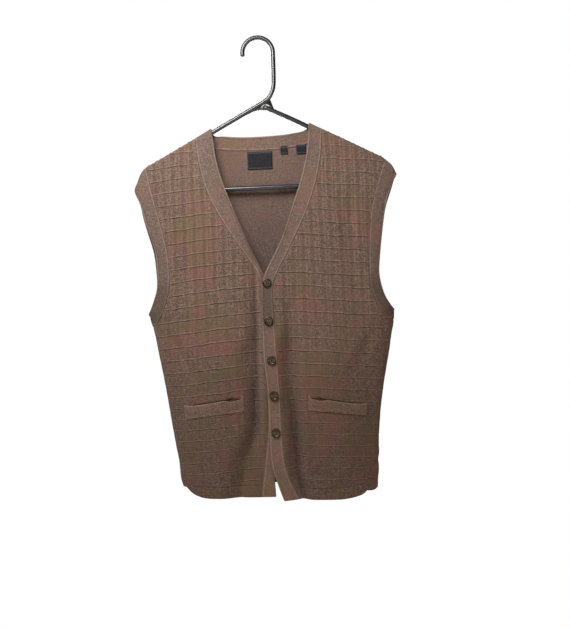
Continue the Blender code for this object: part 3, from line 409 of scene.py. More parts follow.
NOT_SEWN = tree_of(())  # near nothing, so that every rim is a rolled one


def to_sewn(name, points):
    """From each point to the nearest one of the pieces sewn to this one, and how far."""
    tree = tree_of(SEWN_TO[name])
    ways = np.array([tree.find_nearest(Vector(point))[0] for point in points]) - points
    return ways, np.linalg.norm(ways, axis=1)


def closing(ways, gaps):
    """Moves that bring the rims of two sewn pieces together, so that no seam shows light."""
    return ways * (CLOSED_SHARE * soft_step(SEAM_LEFT, SEAM_CLOSED, gaps))[:, None]


def cage_of(name, near=None):
    """The node's mesh in squares, with its rims creased: all fully where near is None."""
    bm = bmesh.new()
    bm.from_mesh(nodes[name].data)
    bmesh.ops.remove_doubles(bm, verts=bm.verts, dist=SAME_POINT)
    limits = {"angle_face_threshold": math.pi, "angle_shape_threshold": math.pi}
    bmesh.ops.join_triangles(bm, faces=bm.faces, **limits)
    crease = bm.edges.layers.float.new("crease_edge")
    for edge in bm.edges:
        if edge.calc_face_angle(0) < RIM_ANGLE:
            continue
        middle = (edge.verts[0].co + edge.verts[1].co) / 2
        gap = near.find_nearest(middle)[3] if near else 0
        edge[crease] = SEWN if gap is not None and gap < SEAM_REACH else ROLLED
    mesh = bpy.data.meshes.new(name)
    bm.to_mesh(mesh)
    bm.free()
    return mesh


print("pieces sewn to others:", len(SEWN_TO))

# %% Make a finer piece
DRAW_ROUNDS, DRAWN_SHARE = 3, 0.8  # each round makes up this share of what smoothing shrinks


def write_points(mesh, points):
    mesh.vertices.foreach_set("co", points.astype(np.float32).ravel())
    mesh.update()


def finer(name, level, near=None):
    """A smooth, finer mesh of a node. Smoothing shrinks bends, so the cage is first drawn
    outwards until the smooth surface passes through the points of the solid."""
    cage = cage_of(name, near)
    helper = bpy.data.objects.new("cage", cage)
    bpy.context.scene.collection.objects.link(helper)
    smooth = helper.modifiers.new("Smooth", "SUBSURF")
    true_points = points_of(cage)
    drawn = true_points.copy()
    for number in range(DRAW_ROUNDS + 1):
        last = number == DRAW_ROUNDS
        smooth.levels = smooth.render_levels = level if last else 1
        bpy.context.view_layer.update()
        graph = bpy.context.evaluated_depsgraph_get()
        mesh = bpy.data.meshes.new_from_object(helper.evaluated_get(graph))
        if not last:
            drawn += DRAWN_SHARE * (true_points - points_of(mesh)[: len(drawn)])
            write_points(cage, drawn)
    bpy.data.objects.remove(helper)
    mesh.shade_smooth()
    return mesh


def normals_of(mesh):
    flat = np.empty(len(mesh.vertices) * 3, np.float32)
    mesh.vertex_normals.foreach_get("vector", flat)
    return flat.reshape(-1, 3).astype(float)


def keep_numbers(mesh, name, *columns):
    """Stores up to three numbers for each point, for the materials to read."""
    numbers = np.zeros((len(mesh.vertices), 3), np.float32)
    for k, column in enumerate(columns):
        numbers[:, k] = column
    layer = mesh.attributes.new(name, "FLOAT_VECTOR", "POINT")
    layer.data.foreach_set("vector", numbers.ravel())


def put_on(mesh, name, node, finish):
    """An object for a finished mesh, in place of its plain node."""
    mesh.materials.clear()
    mesh.materials.append(finish.material)
    piece = bpy.data.objects.new(name, mesh)
    bpy.context.scene.collection.objects.link(piece)
    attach(piece, "root")
    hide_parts(node)
    return piece


print("rounds of drawing out:", DRAW_ROUNDS)

# %% [markdown]
# ## The waffle
# A purl row every 22 mm or so, closer together below the waist, and a slack column every
# 17 mm divide the panels into shallow pillows. The rows droop towards the side seams. It
# could be one displacement texture, but then the rows would not follow the cut. So each
# point stores how many rows and columns lie before it, the mesh swells between them, and
# the material draws them, with painted shade in the grooves and a painted highlight on their
# lips. The material also paints shade on the inner face and towards the hem.

# %% Rows and columns of the waffle
ROW_HIGH, ROW_LOW = 0.0218, 0.0186
WAIST_LOW, WAIST_HIGH = -0.64, -0.50  # the rows close up between these heights
COLUMN = 0.0165
DROOP, LEVEL_HALF = 0.085, 0.03  # rows sink by this slope, and are level near the middle
LEVEL_STEP = 0.002
PILLOW, RIB = 0.00052, 0.00022
PILLOW_SUNK = 0.6  # share of a pillow's height that lies below the plain cloth
RIDGE_KNOBS = 0.0012  # the columns stand up where they bend over the shoulders
SHOULDER = -0.30  # above this height the cloth turns over the shoulders
UP_WEIGHT = 40  # over the shoulders, facing up counts as facing out

levels = np.arange(-0.85, -0.05, LEVEL_STEP)
row_gap = ROW_LOW + (ROW_HIGH - ROW_LOW) * soft_step(WAIST_LOW, WAIST_HIGH, levels)
row_count = np.cumsum(LEVEL_STEP / row_gap)


def edge_across(p, pick, margin, reach, stations=24):
    """Places across a piece, and at each the highest or lowest point within reach of it."""
    xs = np.linspace(p[:, 0].min() + margin, p[:, 0].max() - margin, stations)
    return xs, [pick(p[abs(p[:, 0] - x) < reach][:, 2]) for x in xs]


def height_above_hem(name, p):
    xs, feet = edge_across(points_of(nodes[name].data), np.min, 0.004, 0.02)
    return p[:, 2] - np.interp(p[:, 0], xs, feet)


def outward(p, n):
    """1 on the face that looks out of the vest, 0 on the one that looks in."""
    middle, half = middle_at(p[:, 2]), half_at(p[:, 2])
    way = np.column_stack([
        (p[:, 0] - middle) / half**2,
        p[:, 1] / (FLATNESS * half) ** 2,
        UP_WEIGHT * soft_step(SHOULDER, SHOULDER + 0.10, p[:, 2]),
    ])
    way /= np.linalg.norm(way, axis=1)[:, None] + 1e-9
    return soft_step(-0.1, 0.3, (way * n).sum(1))


def drift(around, z):
    """A small slow wander, in metres, so that no row or column is ruled straight."""
    slow = np.sin(around * 41 + z * 9) + 0.6 * np.sin(around * 97 - z * 23 + 1.7)
    return 0.00055 * slow + 0.0003 * np.sin(around * 210 + z * 160)


def pillows(row, column, around):
    """Height of the pillows, some stitches slacker than others."""
    across_row = 1 - abs(2 * (row % 1) - 1) ** 6
    across_column = 1 - 0.4 * abs(2 * (column % 1) - 1) ** 4
    firm = 0.72 + 0.28 * np.sin(around * 330 + 2 * np.sin(row * 2.1))
    return PILLOW * (1 - (1 - across_row * across_column) * firm - PILLOW_SUNK)


def ribs(column, z):
    """Height of the three fine ribs in each column, firmest over the chest."""
    firm = 0.4 + 0.6 * soft_step(-0.34, -0.22, z)
    return RIB * firm * np.cos(3 * math.tau * column)


def ridge_knobs(column, z, upward):
    """Height of the knobs along the shoulders, where the cloth faces up."""
    ridge = soft_step(0.30, 0.75, upward) * (z > SHOULDER)
    return RIDGE_KNOBS * ridge * np.cos(2 * math.tau * column) * (0.7 + 0.3 * np.sin(column * 5.3))


print("rows in the waffle's full height:", round(row_count[-1]))

# %% [markdown]
# ## Pocket mouths
# A worn mouth hangs nearly shut, and only its inner end gapes. The solids keep it wide open,
# so that it stays a real opening. Here the cloth above it comes down a little and the strip
# below it goes up, by less and less further away, so that nothing tears.

# %% Narrow the pocket mouths
GAPE, GAPE_SEEN, GAPE_LEAST = 0.009, 0.0088, 0.0030  # in the frame, at the gap, and elsewhere
LOWER_SHARE, UPPER_SHARE = 0.75, 0.25  # how much of the closing each lip does
EDGE_POINTS = 7  # points that are looked at along each edge of the strip


def lip_of(half):
    """The inner and outer end of a pocket mouth, and the height of its lower lip across it."""
    mesh = nodes["pocket_welt_" + half].data
    p = points_of(mesh)
    first = p[[edge.vertices[0] for edge in mesh.edges]]
    second = p[[edge.vertices[1] for edge in mesh.edges]]
    p = np.concatenate([first + (second - first) * t for t in np.linspace(0, 1, EDGE_POINTS)])
    xs, tops = edge_across(p, np.max, 0.001, 0.003)
    inner, outer = (xs[-1], xs[0]) if half == "left" else (xs[0], xs[-1])
    return inner, outer, lambda x: np.interp(x, xs, tops)


def narrow_mouth(p, half):
    """Moves along Z that leave the mouth its gap at the inner end and nearly shut the rest."""
    inner, outer, lip = lip_of(half)
    share = np.clip((p[:, 0] - inner) / (outer - inner), 0, 1)
    now = GAPE * np.sin(np.pi * share**0.6)
    wanted = GAPE_SEEN * soft_step(0.0, 0.05, share) * soft_step(0.42, 0.14, share)
    wanted = np.maximum(wanted, GAPE_LEAST * np.sin(np.pi * share) ** 0.5)
    above = p[:, 2] - lip(p[:, 0]) - now / 2
    lower = LOWER_SHARE * soft_step(-0.026, -0.008, above) * (above < 0)
    upper = UPPER_SHARE * soft_step(0.020, 0.004, above) * (above >= 0)
    return (now - wanted) * (lower - upper)


print("inner ends of the mouths:", [round(float(lip_of(half)[0]), 3) for half in ("left", "right")])

# %% [markdown]
# ## Knit finish
# The yarn is a heather: brown, with reddish and olive fibres that gather into soft patches.
# Each stitch is a V. Hair by hair it would be far too heavy, and a picture of knitting would
# repeat, so the bump is a leaning wave on either side of the stitch's middle, and noise at
# several sizes gives the flecks and the patches.

# %% Yarn
STITCH, COURSE = 0.0024, 0.0018
HEATHER_DARK = paint(0.074, 0.042, 0.027)
HEATHER_LIGHT = paint(0.328, 0.204, 0.147)
HEATHER_RED = paint(0.275, 0.108, 0.088)
HEATHER_OLIVE = paint(0.160, 0.126, 0.048)
HEATHER_SHADE = paint(0.070, 0.044, 0.030)
FUZZ = 700  # scale of the fine hairiness in every knit's bump
YARN = {
    "Roughness": 0.9,
    "Sheen_Weight": 0.18,
    "Sheen_Roughness": 0.45,
    "Sheen_Tint": paint(0.97, 0.88, 0.80),
    "Specular_IOR_Level": 0.30,
}


def stitches(across, down):
    """Height of plain knitting, from 0 to 1: columns of leaning legs."""
    from_middle = ((across * (1 / STITCH)).part() - 0.5).size() * 2
    legs = ((down * (1 / COURSE) + from_middle * 0.45).part() - 0.5).size() * 2
    arch = 1 - ((from_middle - 0.5).size() * 2) ** 2
    return (1 - legs) * arch


def heather(finish, dark=HEATHER_DARK, light=HEATHER_LIGHT, patchy=1.0):
    """Flecked yarn with soft reddish and olive patches."""
    where = finish.place()
    fleck = finish.noise(420, 4, 0.85, where).ramp(0.36, 0.64)
    red = finish.noise(13, 6, 0.62, finish.place((1, 1, 0.8))).ramp(0.46, 0.62)
    olive = finish.noise(11, 6, 0.62, finish.place((1.2, 1, 1))).ramp(0.47, 0.63)
    shade = finish.noise(230, 4, 0.7, where).ramp(0.42, 0.62)
    tone = finish.blend(dark, light, fleck)
    tone = finish.blend(tone, HEATHER_RED, red * (0.72 * patchy))
    tone = finish.blend(tone, HEATHER_OLIVE, olive * (0.56 * patchy))
    return finish.blend(tone, HEATHER_SHADE, shade * 0.30)


def uneven_line(finish, scale, low, high):
    """From 0.2 to 1 along a line of knitting, so that it is never evenly drawn."""
    return finish.noise(scale, 3, 0.7).ramp(low, high) * 0.8 + 0.2


print("stitch (mm):", STITCH * TO_MM, "by", COURSE * TO_MM)

# %% Waffle finish
INSIDE_PAINTED_SHADE = paint(0.126, 0.080, 0.064)
LOW_PAINTED_SHADE = paint(0.060, 0.034, 0.024)
GROOVE_PAINTED_SHADE = paint(0.050, 0.033, 0.023)
LIP_PAINTED_HIGHLIGHT = paint(0.36, 0.245, 0.175)
RIB_SHADE = paint(0.062, 0.040, 0.028)
HEM_SHADE = paint(0.055, 0.038, 0.029)
HEM_KNIT = (0.018, 0.026)  # the waffle starts between these heights above the hem's edge
ROW_MM, HEM_LINE_MM = 21.0, 18.5


def waffle_finish():
    finish = Finish("waffle_knit_yarn", **YARN)
    across, down, strength = finish.stored("knit")
    row, column, hem = finish.stored("grid")
    facing, depth, _ = finish.stored("face")
    knitted = hem.ramp(*HEM_KNIT)
    shown = (strength * 0.7 + 0.3) * knitted
    uneven = finish.noise(75, 3, 0.65).ramp(0.32, 0.64) * 0.75 + 0.25
    broken = uneven_line(finish, 150, 0.35, 0.6)
    high = depth.ramp(0.56, 0.36)  # the columns are pulled open over the chest

    from_row = ((row + 0.5).part() - 0.5) * ROW_MM + (finish.noise(260, 1, 0.5) - 0.5) * 0.9
    groove = (1 - from_row.size().ramp(0.2, 1.3)) * uneven * strength
    lip = (1 - (from_row - 1.8).size().ramp(0.2, 1.7)) * shown
    stripe = (column * math.tau).wave().ramp(0.55, 1.0) * shown
    rib = ((column * (3 * math.tau)).wave() * 0.5 + 0.5) * knitted * broken
    rung = ((row * (6 * math.tau)).wave() * 0.5 + 0.5) * knitted * (1 - broken * 0.6)
    hem_line = 1 - (hem * TO_MM - HEM_LINE_MM).size().ramp(0.5, 1.4)

    tone = heather(finish)
    # painted shade: the inner face is darkened, as the inside of the vest lies in shade
    tone = finish.blend(tone, INSIDE_PAINTED_SHADE, (1 - facing) * 0.55)
    # painted shade: the outer face darkens towards the hem, where less light falls
    tone = finish.blend(tone, LOW_PAINTED_SHADE, depth.ramp(0.40, 0.68) * facing * 0.26)
    # painted shade in the grooves of the purl rows
    tone = finish.blend(tone, GROOVE_PAINTED_SHADE, groove * 0.44)
    # painted highlight on the raised lip above each groove
    tone = finish.blend(tone, LIP_PAINTED_HIGHLIGHT, lip * 0.50 * broken)
    columns = stripe * (high * 0.24 + 0.14) + rib * (high * 0.22 + 0.16)
    tone = finish.blend(tone, RIB_SHADE, columns + rung * 0.26)
    tone = finish.blend(tone, HEM_SHADE, hem_line * 0.35)

    height = stitches(across, down) * 0.5 + finish.noise(FUZZ, 2, 0.6) * 0.5
    height = height + lip * 0.9 - groove * 1.5 - stripe * 0.5 - rib * 0.5 - rung * 0.4 - hem_line * 0.8
    finish.feed(Base_Color=tone, Normal=finish.bump(height, 0.0009, 0.9))
    return finish


WAFFLE = waffle_finish()
print("waffle nodes:", len(WAFFLE.nodes))

# %% [markdown]
# ## Panels
# The back and the two fronts are cut from the waffle, and their hems are knitted in one with
# them. Building them from flat cloth would need a simulation to hang them, so the frame's own
# panels are made finer and then moved point by point: out for the pillows, across the seams
# to their neighbours, in and out for the creases, and shut at the pocket mouths.

# %% Panels
PANEL_LEVEL = 3  # rounds of subdivision
SEAM_PLAIN = (0.001, 0.004)  # the waffle flattens as it comes this close to a seam


def make_panel(name):
    mesh = finer(name, PANEL_LEVEL, tree_of(SEWN_TO[name]))
    p, n = points_of(mesh), normals_of(mesh)
    z = p[:, 2]
    out = outward(p, n)
    around = round_body(p)
    sunk = DROOP * (np.hypot(p[:, 0] - PLACKET_X, LEVEL_HALF) - LEVEL_HALF)
    row = np.interp(z + sunk + drift(around, z), levels, row_count)
    column = (around + drift(z, around)) / COLUMN + 0.5
    above_hem = height_above_hem(name, p)
    ways, gaps = to_sewn(name, p)
    strength = soft_step(*HEM_KNIT, above_hem) * soft_step(*SEAM_PLAIN, gaps)
    strength *= 0.62 + 0.38 * soft_step(-0.68, -0.46, z)
    height = pillows(row, column, around) + ribs(column, z) + ridge_knobs(column, z, n[:, 2])
    q = p + n * (strength * out * height)[:, None] + closing(ways, gaps)
    q[:, 1] += crease_push(p)
    if name != "back":
        q[:, 2] += narrow_mouth(p, name.removeprefix("front_"))
    write_points(mesh, q)
    keep_numbers(mesh, "knit", around, z + sunk, strength * out)
    keep_numbers(mesh, "grid", row, column, above_hem * out)
    keep_numbers(mesh, "face", out, -z)
    print("knit_" + name, "faces:", len(mesh.polygons))
    return put_on(mesh, "knit_" + name, name, WAFFLE)


panels = {name: make_panel(name) for name in ("back", "front_left", "front_right")}

# %% [markdown]
# ## Bands
# The front, neck and armhole bands are plain, firm knitting, sewn on along one edge and
# folded double. Fine columns run along them, so here the knit's distance across is measured
# from the seam and not round the body. The rolled edge and the chain of stitches beside the
# seam are too fine for the mesh and are drawn by the material, as a painted highlight, with
# painted shade in the hollow behind the edge. Lower down the bands get painted light, and
# under the point of the V painted shade.

# %% Band finish
BAND_DARK, BAND_LIGHT = paint(0.094, 0.059, 0.042), paint(0.238, 0.158, 0.122)
EDGE_PAINTED_HIGHLIGHT = paint(0.36, 0.258, 0.198)
SEAM_LINE_AND_PAINTED_SHADE = paint(0.050, 0.034, 0.026)
LINE_SHADE = paint(0.060, 0.042, 0.032)
LOWER_BAND_PAINTED_LIGHT = paint(0.072, 0.042, 0.032)
V_PAINTED_SHADE = paint(0.058, 0.038, 0.024)
CHAIN_MM, LINE_MM = 2.4, 3.6  # the chain's distance from the seam, and from line to line
UNDER_MM = 3.6  # the hollow behind the rolled edge, from that edge


def band_finish():
    finish = Finish("band_knit_yarn", **YARN)
    across, down, width = finish.stored("knit")
    from_seam, from_edge = across * TO_MM, (width - across) * TO_MM
    seam = 1 - (from_seam - 0.2).size().ramp(0.3, 1.3)
    chain = 1 - (from_seam - CHAIN_MM).size().ramp(0.3, 1.6)
    chain = chain * uneven_line(finish, 170, 0.34, 0.62)
    line = (from_seam * (math.tau / LINE_MM)).wave() * 0.5 + 0.5
    rolled = from_edge.ramp(2.6, 0.9)
    under = 1 - (from_edge - UNDER_MM).size().ramp(0.3, 1.2)
    # painted light: the bands are lightened towards their lower ends, where the two layers lie proud
    # and catch more light
    painted_lower_light = down.ramp(-0.45, -0.52) * 0.4 + down.ramp(-0.56, -0.70) * 0.6  # two layers lie proud
    # painted shadow on the buttoned strip under the point of the V
    painted_v_shade = down.ramp(-0.395, -0.425) - down.ramp(-0.465, -0.505)  # under the point of the V

    tone = heather(finish, BAND_DARK, BAND_LIGHT, 0.7)
    # painted highlight on the rolled edge and on the raised chain beside the seam
    tone = finish.blend(tone, EDGE_PAINTED_HIGHLIGHT, rolled * 0.48 + chain * 0.46)
    # the seam's own dark line, and painted shade in the hollow behind the rolled edge
    tone = finish.blend(tone, SEAM_LINE_AND_PAINTED_SHADE, seam * 0.60 + under * 0.30)
    tone = finish.blend(tone, LINE_SHADE, line * 0.16)
    tone = finish.blend(tone, LOWER_BAND_PAINTED_LIGHT, painted_lower_light, "ADD")
    tone = finish.blend(tone, V_PAINTED_SHADE, painted_v_shade * 0.42)

    height = stitches(across * 1.15, down) * 0.5 + finish.noise(FUZZ, 2, 0.6) * 0.5
    height = height - seam * 0.8 + chain * 0.4 - under * 0.5
    finish.feed(Base_Color=tone, Normal=finish.bump(height, 0.0008, 0.9))
    return finish


BAND = band_finish()
print("band nodes:", len(BAND.nodes))

# %% Bands
BAND_LEVEL = 3
BANDS = {
    "front_band_left": ("front_left",),
    "front_band_right": ("front_right",),
    "back_neck_band": ("back",),
    "armhole_band_left": ("front_left", "back"),
    "armhole_band_right": ("front_right", "back"),
}
NECK_STANDS = 0.0045  # the back neck band is stretched up by this much
NECK_X = -0.004  # its middle
TIP_STANDS, TIP_HEIGHT, TIP_REACH = 0.0075, -0.248, 0.017  # the hanger pushes the left tip out
BACK_HIDDEN = 0.0045  # the right armhole's back edge lies behind its front edge


def width_along(along, across):
    """The band's own width at each point, from the farthest points near it."""
    places = np.arange(along.min() + 0.004, along.max(), 0.008)
    widest = [across[abs(along - place) < 0.010].max() for place in places]
    return np.interp(along, places, widest)


def free_edge_move(name, p):
    """How far a band's free edge moves along X and Z: the seam itself stays."""
    still = np.zeros(len(p))
    if name == "back_neck_band":
        return still, NECK_STANDS * soft_step(0.090, 0.055, abs(p[:, 0] - NECK_X))
    if name == "armhole_band_right":
        behind = soft_step(0.001, 0.006, p[:, 1]) * soft_step(-0.26, -0.30, p[:, 2])
        return -BACK_HIDDEN * behind, still
    if name == "armhole_band_left":
        return -TIP_STANDS * bell(TIP_HEIGHT, TIP_REACH, p[:, 2]), still
    return still, still


def make_band(name, sewn_to):
    mesh = finer(name, BAND_LEVEL, tree_of(SEWN_TO[name]))
    p = points_of(mesh)
    tree = tree_of(sewn_to)
    across = np.array([tree.find_nearest(Vector(point))[3] for point in p])
    along = p[:, 0] if name == "back_neck_band" else p[:, 2]
    width = width_along(along, across)
    out_share = soft_step(0.0, 1.0, across / width)
    aside, upward = free_edge_move(name, p)
    q = p + closing(*to_sewn(name, p))
    q[:, 0] += aside * out_share
    q[:, 1] += crease_push(p)
    q[:, 2] += upward * out_share
    write_points(mesh, q)
    keep_numbers(mesh, "knit", across, along, width)
    return put_on(mesh, "knit_" + name, name, BAND)


bands = {name: make_band(name, sewn_to) for name, sewn_to in BANDS.items()}
print("bands:", list(bands))

# %% [markdown]
# ## Pockets
# Each pocket has a strip of rib knitting along its lower lip and a plain bag behind. The
# strip could be drawn on the front, but then it would not catch the light along its edge, so
# it is a piece of its own, set into the front at its foot and at its inner end. The bag hangs
# against the mouth, so that it shows in the gap.

# %% Pocket finishes
WELT_DARK, WELT_LIGHT = paint(0.128, 0.082, 0.056), paint(0.320, 0.210, 0.148)
WELT_SHADE, WELT_EDGE_PAINTED_HIGHLIGHT = paint(0.070, 0.048, 0.037), paint(0.36, 0.26, 0.20)
WELT_RIB = 0.0042
BAG_DARK, BAG_LIGHT = paint(0.120, 0.090, 0.063), paint(0.260, 0.190, 0.135)


def welt_finish():
    finish = Finish("welt_knit_yarn", **YARN)
    across, down, _ = finish.stored("knit")
    rib = (across * (math.tau / WELT_RIB)).wave()
    tone = heather(finish, WELT_DARK, WELT_LIGHT, 0.6)
    tone = finish.blend(tone, WELT_SHADE, rib.ramp(0.1, 1.0) * 0.14)
    # painted highlight along the strip's rolled upper edge
    tone = finish.blend(tone, WELT_EDGE_PAINTED_HIGHLIGHT, (down * TO_MM).ramp(3.2, 1.4) * 0.34)
    height = stitches(across, down) * 0.45 - rib * 0.2 + finish.noise(FUZZ, 2, 0.6) * 0.4
    finish.feed(Base_Color=tone, Normal=finish.bump(height, 0.0008, 0.9))
    return finish


def bag_finish():
    finish = Finish("pocket_knit_yarn", **YARN)
    across, down, _ = finish.stored("knit")
    tone = heather(finish, BAG_DARK, BAG_LIGHT, 0.5)
    height = stitches(across, down) * 0.5 + finish.noise(FUZZ, 2, 0.6) * 0.5
    finish.feed(Base_Color=tone, Normal=finish.bump(height, 0.0006, 0.8))
    return finish


WELT, BAG = welt_finish(), bag_finish()
print("pocket finishes:", WELT.material.name, BAG.material.name)

# %% Pockets
WELT_LEVEL, BAG_LEVEL = 3, 2
WELT_BACK, FOOT_BACK = 0.0002, 0.0014  # how far the strip, and then its foot, goes back
FOOT_FROM, FOOT_TO = 0.010, 0.021  # distances below the strip's upper edge
BAG_FORWARD, BAG_CLEAR = 0.0060, 0.0010  # how far it may come forward, and what it keeps clear
GAP_DOWN, GAP_REACH = 0.014, 0.016  # where the gap is, below the bag's upper edge


def below_top(p):
    """How far each point lies below its piece's upper edge."""
    xs, tops = edge_across(p, np.max, 0.002, 0.006, stations=16)
    return np.interp(p[:, 0], xs, tops) - p[:, 2]


def from_inner_end(p, half):
    """0 at the mouth's inner end and 1 at its outer one."""
    inner, outer, _ = lip_of(half)
    return (p[:, 0] - inner) / (outer - inner)


def welt_move(p, half):
    """Moves along Y and Z: the strip goes back at its foot, and up with the lower lip."""
    foot = soft_step(FOOT_FROM, FOOT_TO, below_top(p))
    end = 0.6 * soft_step(0.06, 0.0, from_inner_end(p, half))
    return WELT_BACK + FOOT_BACK * np.maximum(foot, end), narrow_mouth(p, half)


def bag_move(p, half):
    """Moves along Y and Z: the bag comes forward behind the gap, and never through the front."""
    tree = tree_of(("front_" + half,))
    gaps = np.array([point[1] - tree.find_nearest(Vector(point))[0].y for point in p])
    behind = bell(GAP_DOWN, GAP_REACH, below_top(p)) * soft_step(0.42, 0.26, from_inner_end(p, half))
    return -np.minimum(BAG_FORWARD * behind, np.maximum(gaps - BAG_CLEAR, 0)), np.zeros(len(p))


def make_pocket_piece(name, level, move, finish):
    mesh = finer(name, level, NOT_SEWN)
    p = points_of(mesh)
    back, upward = move(p, name.rsplit("_")[-1])
    write_points(mesh, p + np.column_stack([np.zeros(len(p)), crease_push(p) + back, upward]))
    keep_numbers(mesh, "knit", round_body(p), below_top(p))
    return put_on(mesh, "knit_" + name, name, finish)


for half in ("left", "right"):
    welt_name, bag_name = "pocket_welt_" + half, "pocket_lining_" + half
    make_pocket_piece(welt_name, WELT_LEVEL, welt_move, WELT)
    make_pocket_piece(bag_name, BAG_LEVEL, bag_move, BAG)

# %% [markdown]
# ## Labels
# A woven neck label and two small tabs sit inside the back neck. They are black satin, and
# are left bare. A satin's threads are far too fine to model, so the sheen of its twill is a
# slanting wave, drawn as a painted sheen in the colour and as a bump, and a faint ticked
# border is drawn from each label's own upper and lower edge.

# %% Labels
LABEL_LEVEL = 3
SATIN_DARK, SATIN_LIGHT = paint(0.006, 0.006, 0.007), paint(0.015, 0.015, 0.017)
TWILL_PAINTED_SHEEN, BORDER_LIGHT = paint(0.030, 0.030, 0.033), paint(0.16, 0.155, 0.155)
TWILL, TICK = 0.0009, 0.0026
BORDER_MM = 2.2


def satin_finish():
    finish = Finish("label_satin_weave", Roughness=0.5, Specular_IOR_Level=0.2)
    x, _, z = finish.place().split()
    down, height, _ = finish.stored("label")
    twill = ((x + z * 0.6) * (math.tau / TWILL)).wave()
    cloud = finish.noise(300, 2, 0.5).ramp(0.3, 0.7)
    edges = [(way * TO_MM - BORDER_MM).size().ramp(1.0, 0.6) for way in (down, height)]
    ticks = (x * (math.tau / TICK)).wave().ramp(-0.1, 0.4)
    tone = finish.blend(SATIN_DARK, SATIN_LIGHT, cloud)
    # painted sheen along the slanting twill
    tone = finish.blend(tone, TWILL_PAINTED_SHEEN, twill.ramp(0.2, 1.0) * 0.3)
    tone = finish.blend(tone, BORDER_LIGHT, (edges[0] + edges[1]) * ticks * 0.5)
    finish.feed(Base_Color=tone, Normal=finish.bump(twill, 0.0001, 0.6))
    return finish


def make_label(name):
    mesh = finer(name, LABEL_LEVEL)
    p = points_of(mesh)
    z = p[:, 2]
    keep_numbers(mesh, "label", z.max() - z, z - z.min())
    p[:, 1] += crease_push(p)
    write_points(mesh, p)
    return put_on(mesh, "satin_" + name, name, SATIN)


SATIN = satin_finish()
labels = {name: make_label(name) for name in ("neck_label", "size_tab", "care_tab")}
print("labels:", list(labels))

# %% [markdown]
# ## Hanger
# One bent tube of black plastic, moulded in one with its hook. A curve with a round section
# would make a smooth tube, but not the moulding's thick joints. The solid has the right shape
# already, and one more subdivision takes the facets off it.

# %% Hanger
HANGER_LEVEL = 1
PLASTIC_DARK, PLASTIC_LIGHT = paint(0.006, 0.006, 0.007), paint(0.022, 0.022, 0.024)


def plastic_finish():
    gloss = {"Roughness": 0.3, "IOR": 1.66, "Specular_Tint": paint(1.0, 0.95, 0.88)}
    finish = Finish("hanger_plastic_gloss", **gloss)
    cloud = finish.noise(60, 3, 0.6)
    scuff = finish.noise(420, 3, 0.7, finish.place((1, 1, 0.2))).ramp(0.55, 0.8)
    finish.feed(Base_Color=finish.blend(PLASTIC_DARK, PLASTIC_LIGHT, cloud))
    finish.feed(Roughness=0.20 + cloud * 0.10 + scuff * 0.10)
    finish.feed(Normal=finish.bump(finish.noise(260, 2, 0.5), 0.0002, 0.35))
    return finish


tube = finer("hanger", HANGER_LEVEL)
put_on(tube, "hanger_moulding", "hanger", plastic_finish())
print("hanger faces:", len(tube.polygons))

# %% [markdown]
# ## Buttons
# Each button is a disc of dark horn-like plastic, turned with a raised rim and drilled with
# four holes, and sewn on with two upright stitches. The solids hold the disc and the holes.
# Subdividing them would pinch the holes, so they keep their faces, with smooth shading between
# sharp edges. The thread is new: short bent tubes, laid over each pair of holes.

# %% Button finishes
HORN_DARK, HORN_LIGHT = paint(0.024, 0.014, 0.008), paint(0.128, 0.080, 0.044)
HORN_RING = paint(0.010, 0.007, 0.005)
RING_FROM, RING_TO = 0.0046, 0.0056  # the rim darkens between these radii
THREAD_DARK, THREAD_LIGHT = paint(0.10, 0.070, 0.050), paint(0.21, 0.15, 0.11)
PLY = 0.0005  # length of one twist of the thread


def horn_finish():
    gloss = {"Roughness": 0.27, "Specular_IOR_Level": 0.3, "Specular_Tint": paint(1.0, 0.91, 0.78)}
    finish = Finish("button_horn_gloss", **gloss)
    radius, _, _ = finish.stored("disc")
    swirl = finish.noise(210, 4, 0.6, finish.place((1, 1, 2.2)))
    tone = finish.blend(HORN_DARK, HORN_LIGHT, swirl.ramp(0.36, 0.62))
    tone = finish.blend(tone, HORN_RING, radius.ramp(RING_FROM, RING_TO) * 0.85)
    finish.feed(Base_Color=tone, Roughness=0.20 + swirl * 0.14)
    finish.feed(Normal=finish.bump(finish.noise(900, 2, 0.5), 0.00008, 0.3))
    return finish


def thread_finish():
    finish = Finish("button_thread_yarn", Roughness=0.85, Sheen_Weight=0.3)
    _, _, z = finish.place().split()
    tone = finish.blend(THREAD_DARK, THREAD_LIGHT, finish.noise(900).ramp(0.3, 0.7))
    ply = (z * (math.tau / PLY)).wave()
    finish.feed(Base_Color=tone, Normal=finish.bump(ply, 0.0001, 0.8))
    return finish


HORN, THREAD = horn_finish(), thread_finish()
print("button finishes:", HORN.material.name, THREAD.material.name)

# %% Buttons
SHARP_EDGE = math.radians(50)
HOLE_OFF = 0.00175  # the holes stand this far off the middle both ways
FACE_SUNK = 0.0011  # the face lies this far under the rim
THREAD_R, THREAD_CORNERS = 0.00042, 6
# share of the way from hole to hole, and height over the face in mm, from below to above
STITCH_PATH = ((-1, -0.7), (-0.92, 0.1), (-0.4, 0.5), (0.4, 0.5), (0.92, 0.1), (1, -0.7))


def button_axes(p):
    """A button's middle, and its own directions sideways, upwards and away from the vest."""
    away = np.linalg.svd(p - p.mean(0))[2][2]
    away *= -np.sign(away[1])
    side = np.cross(away, (0, 0, 1))
    side /= np.linalg.norm(side)
    return (p.min(0) + p.max(0)) / 2, side, np.cross(side, away), away


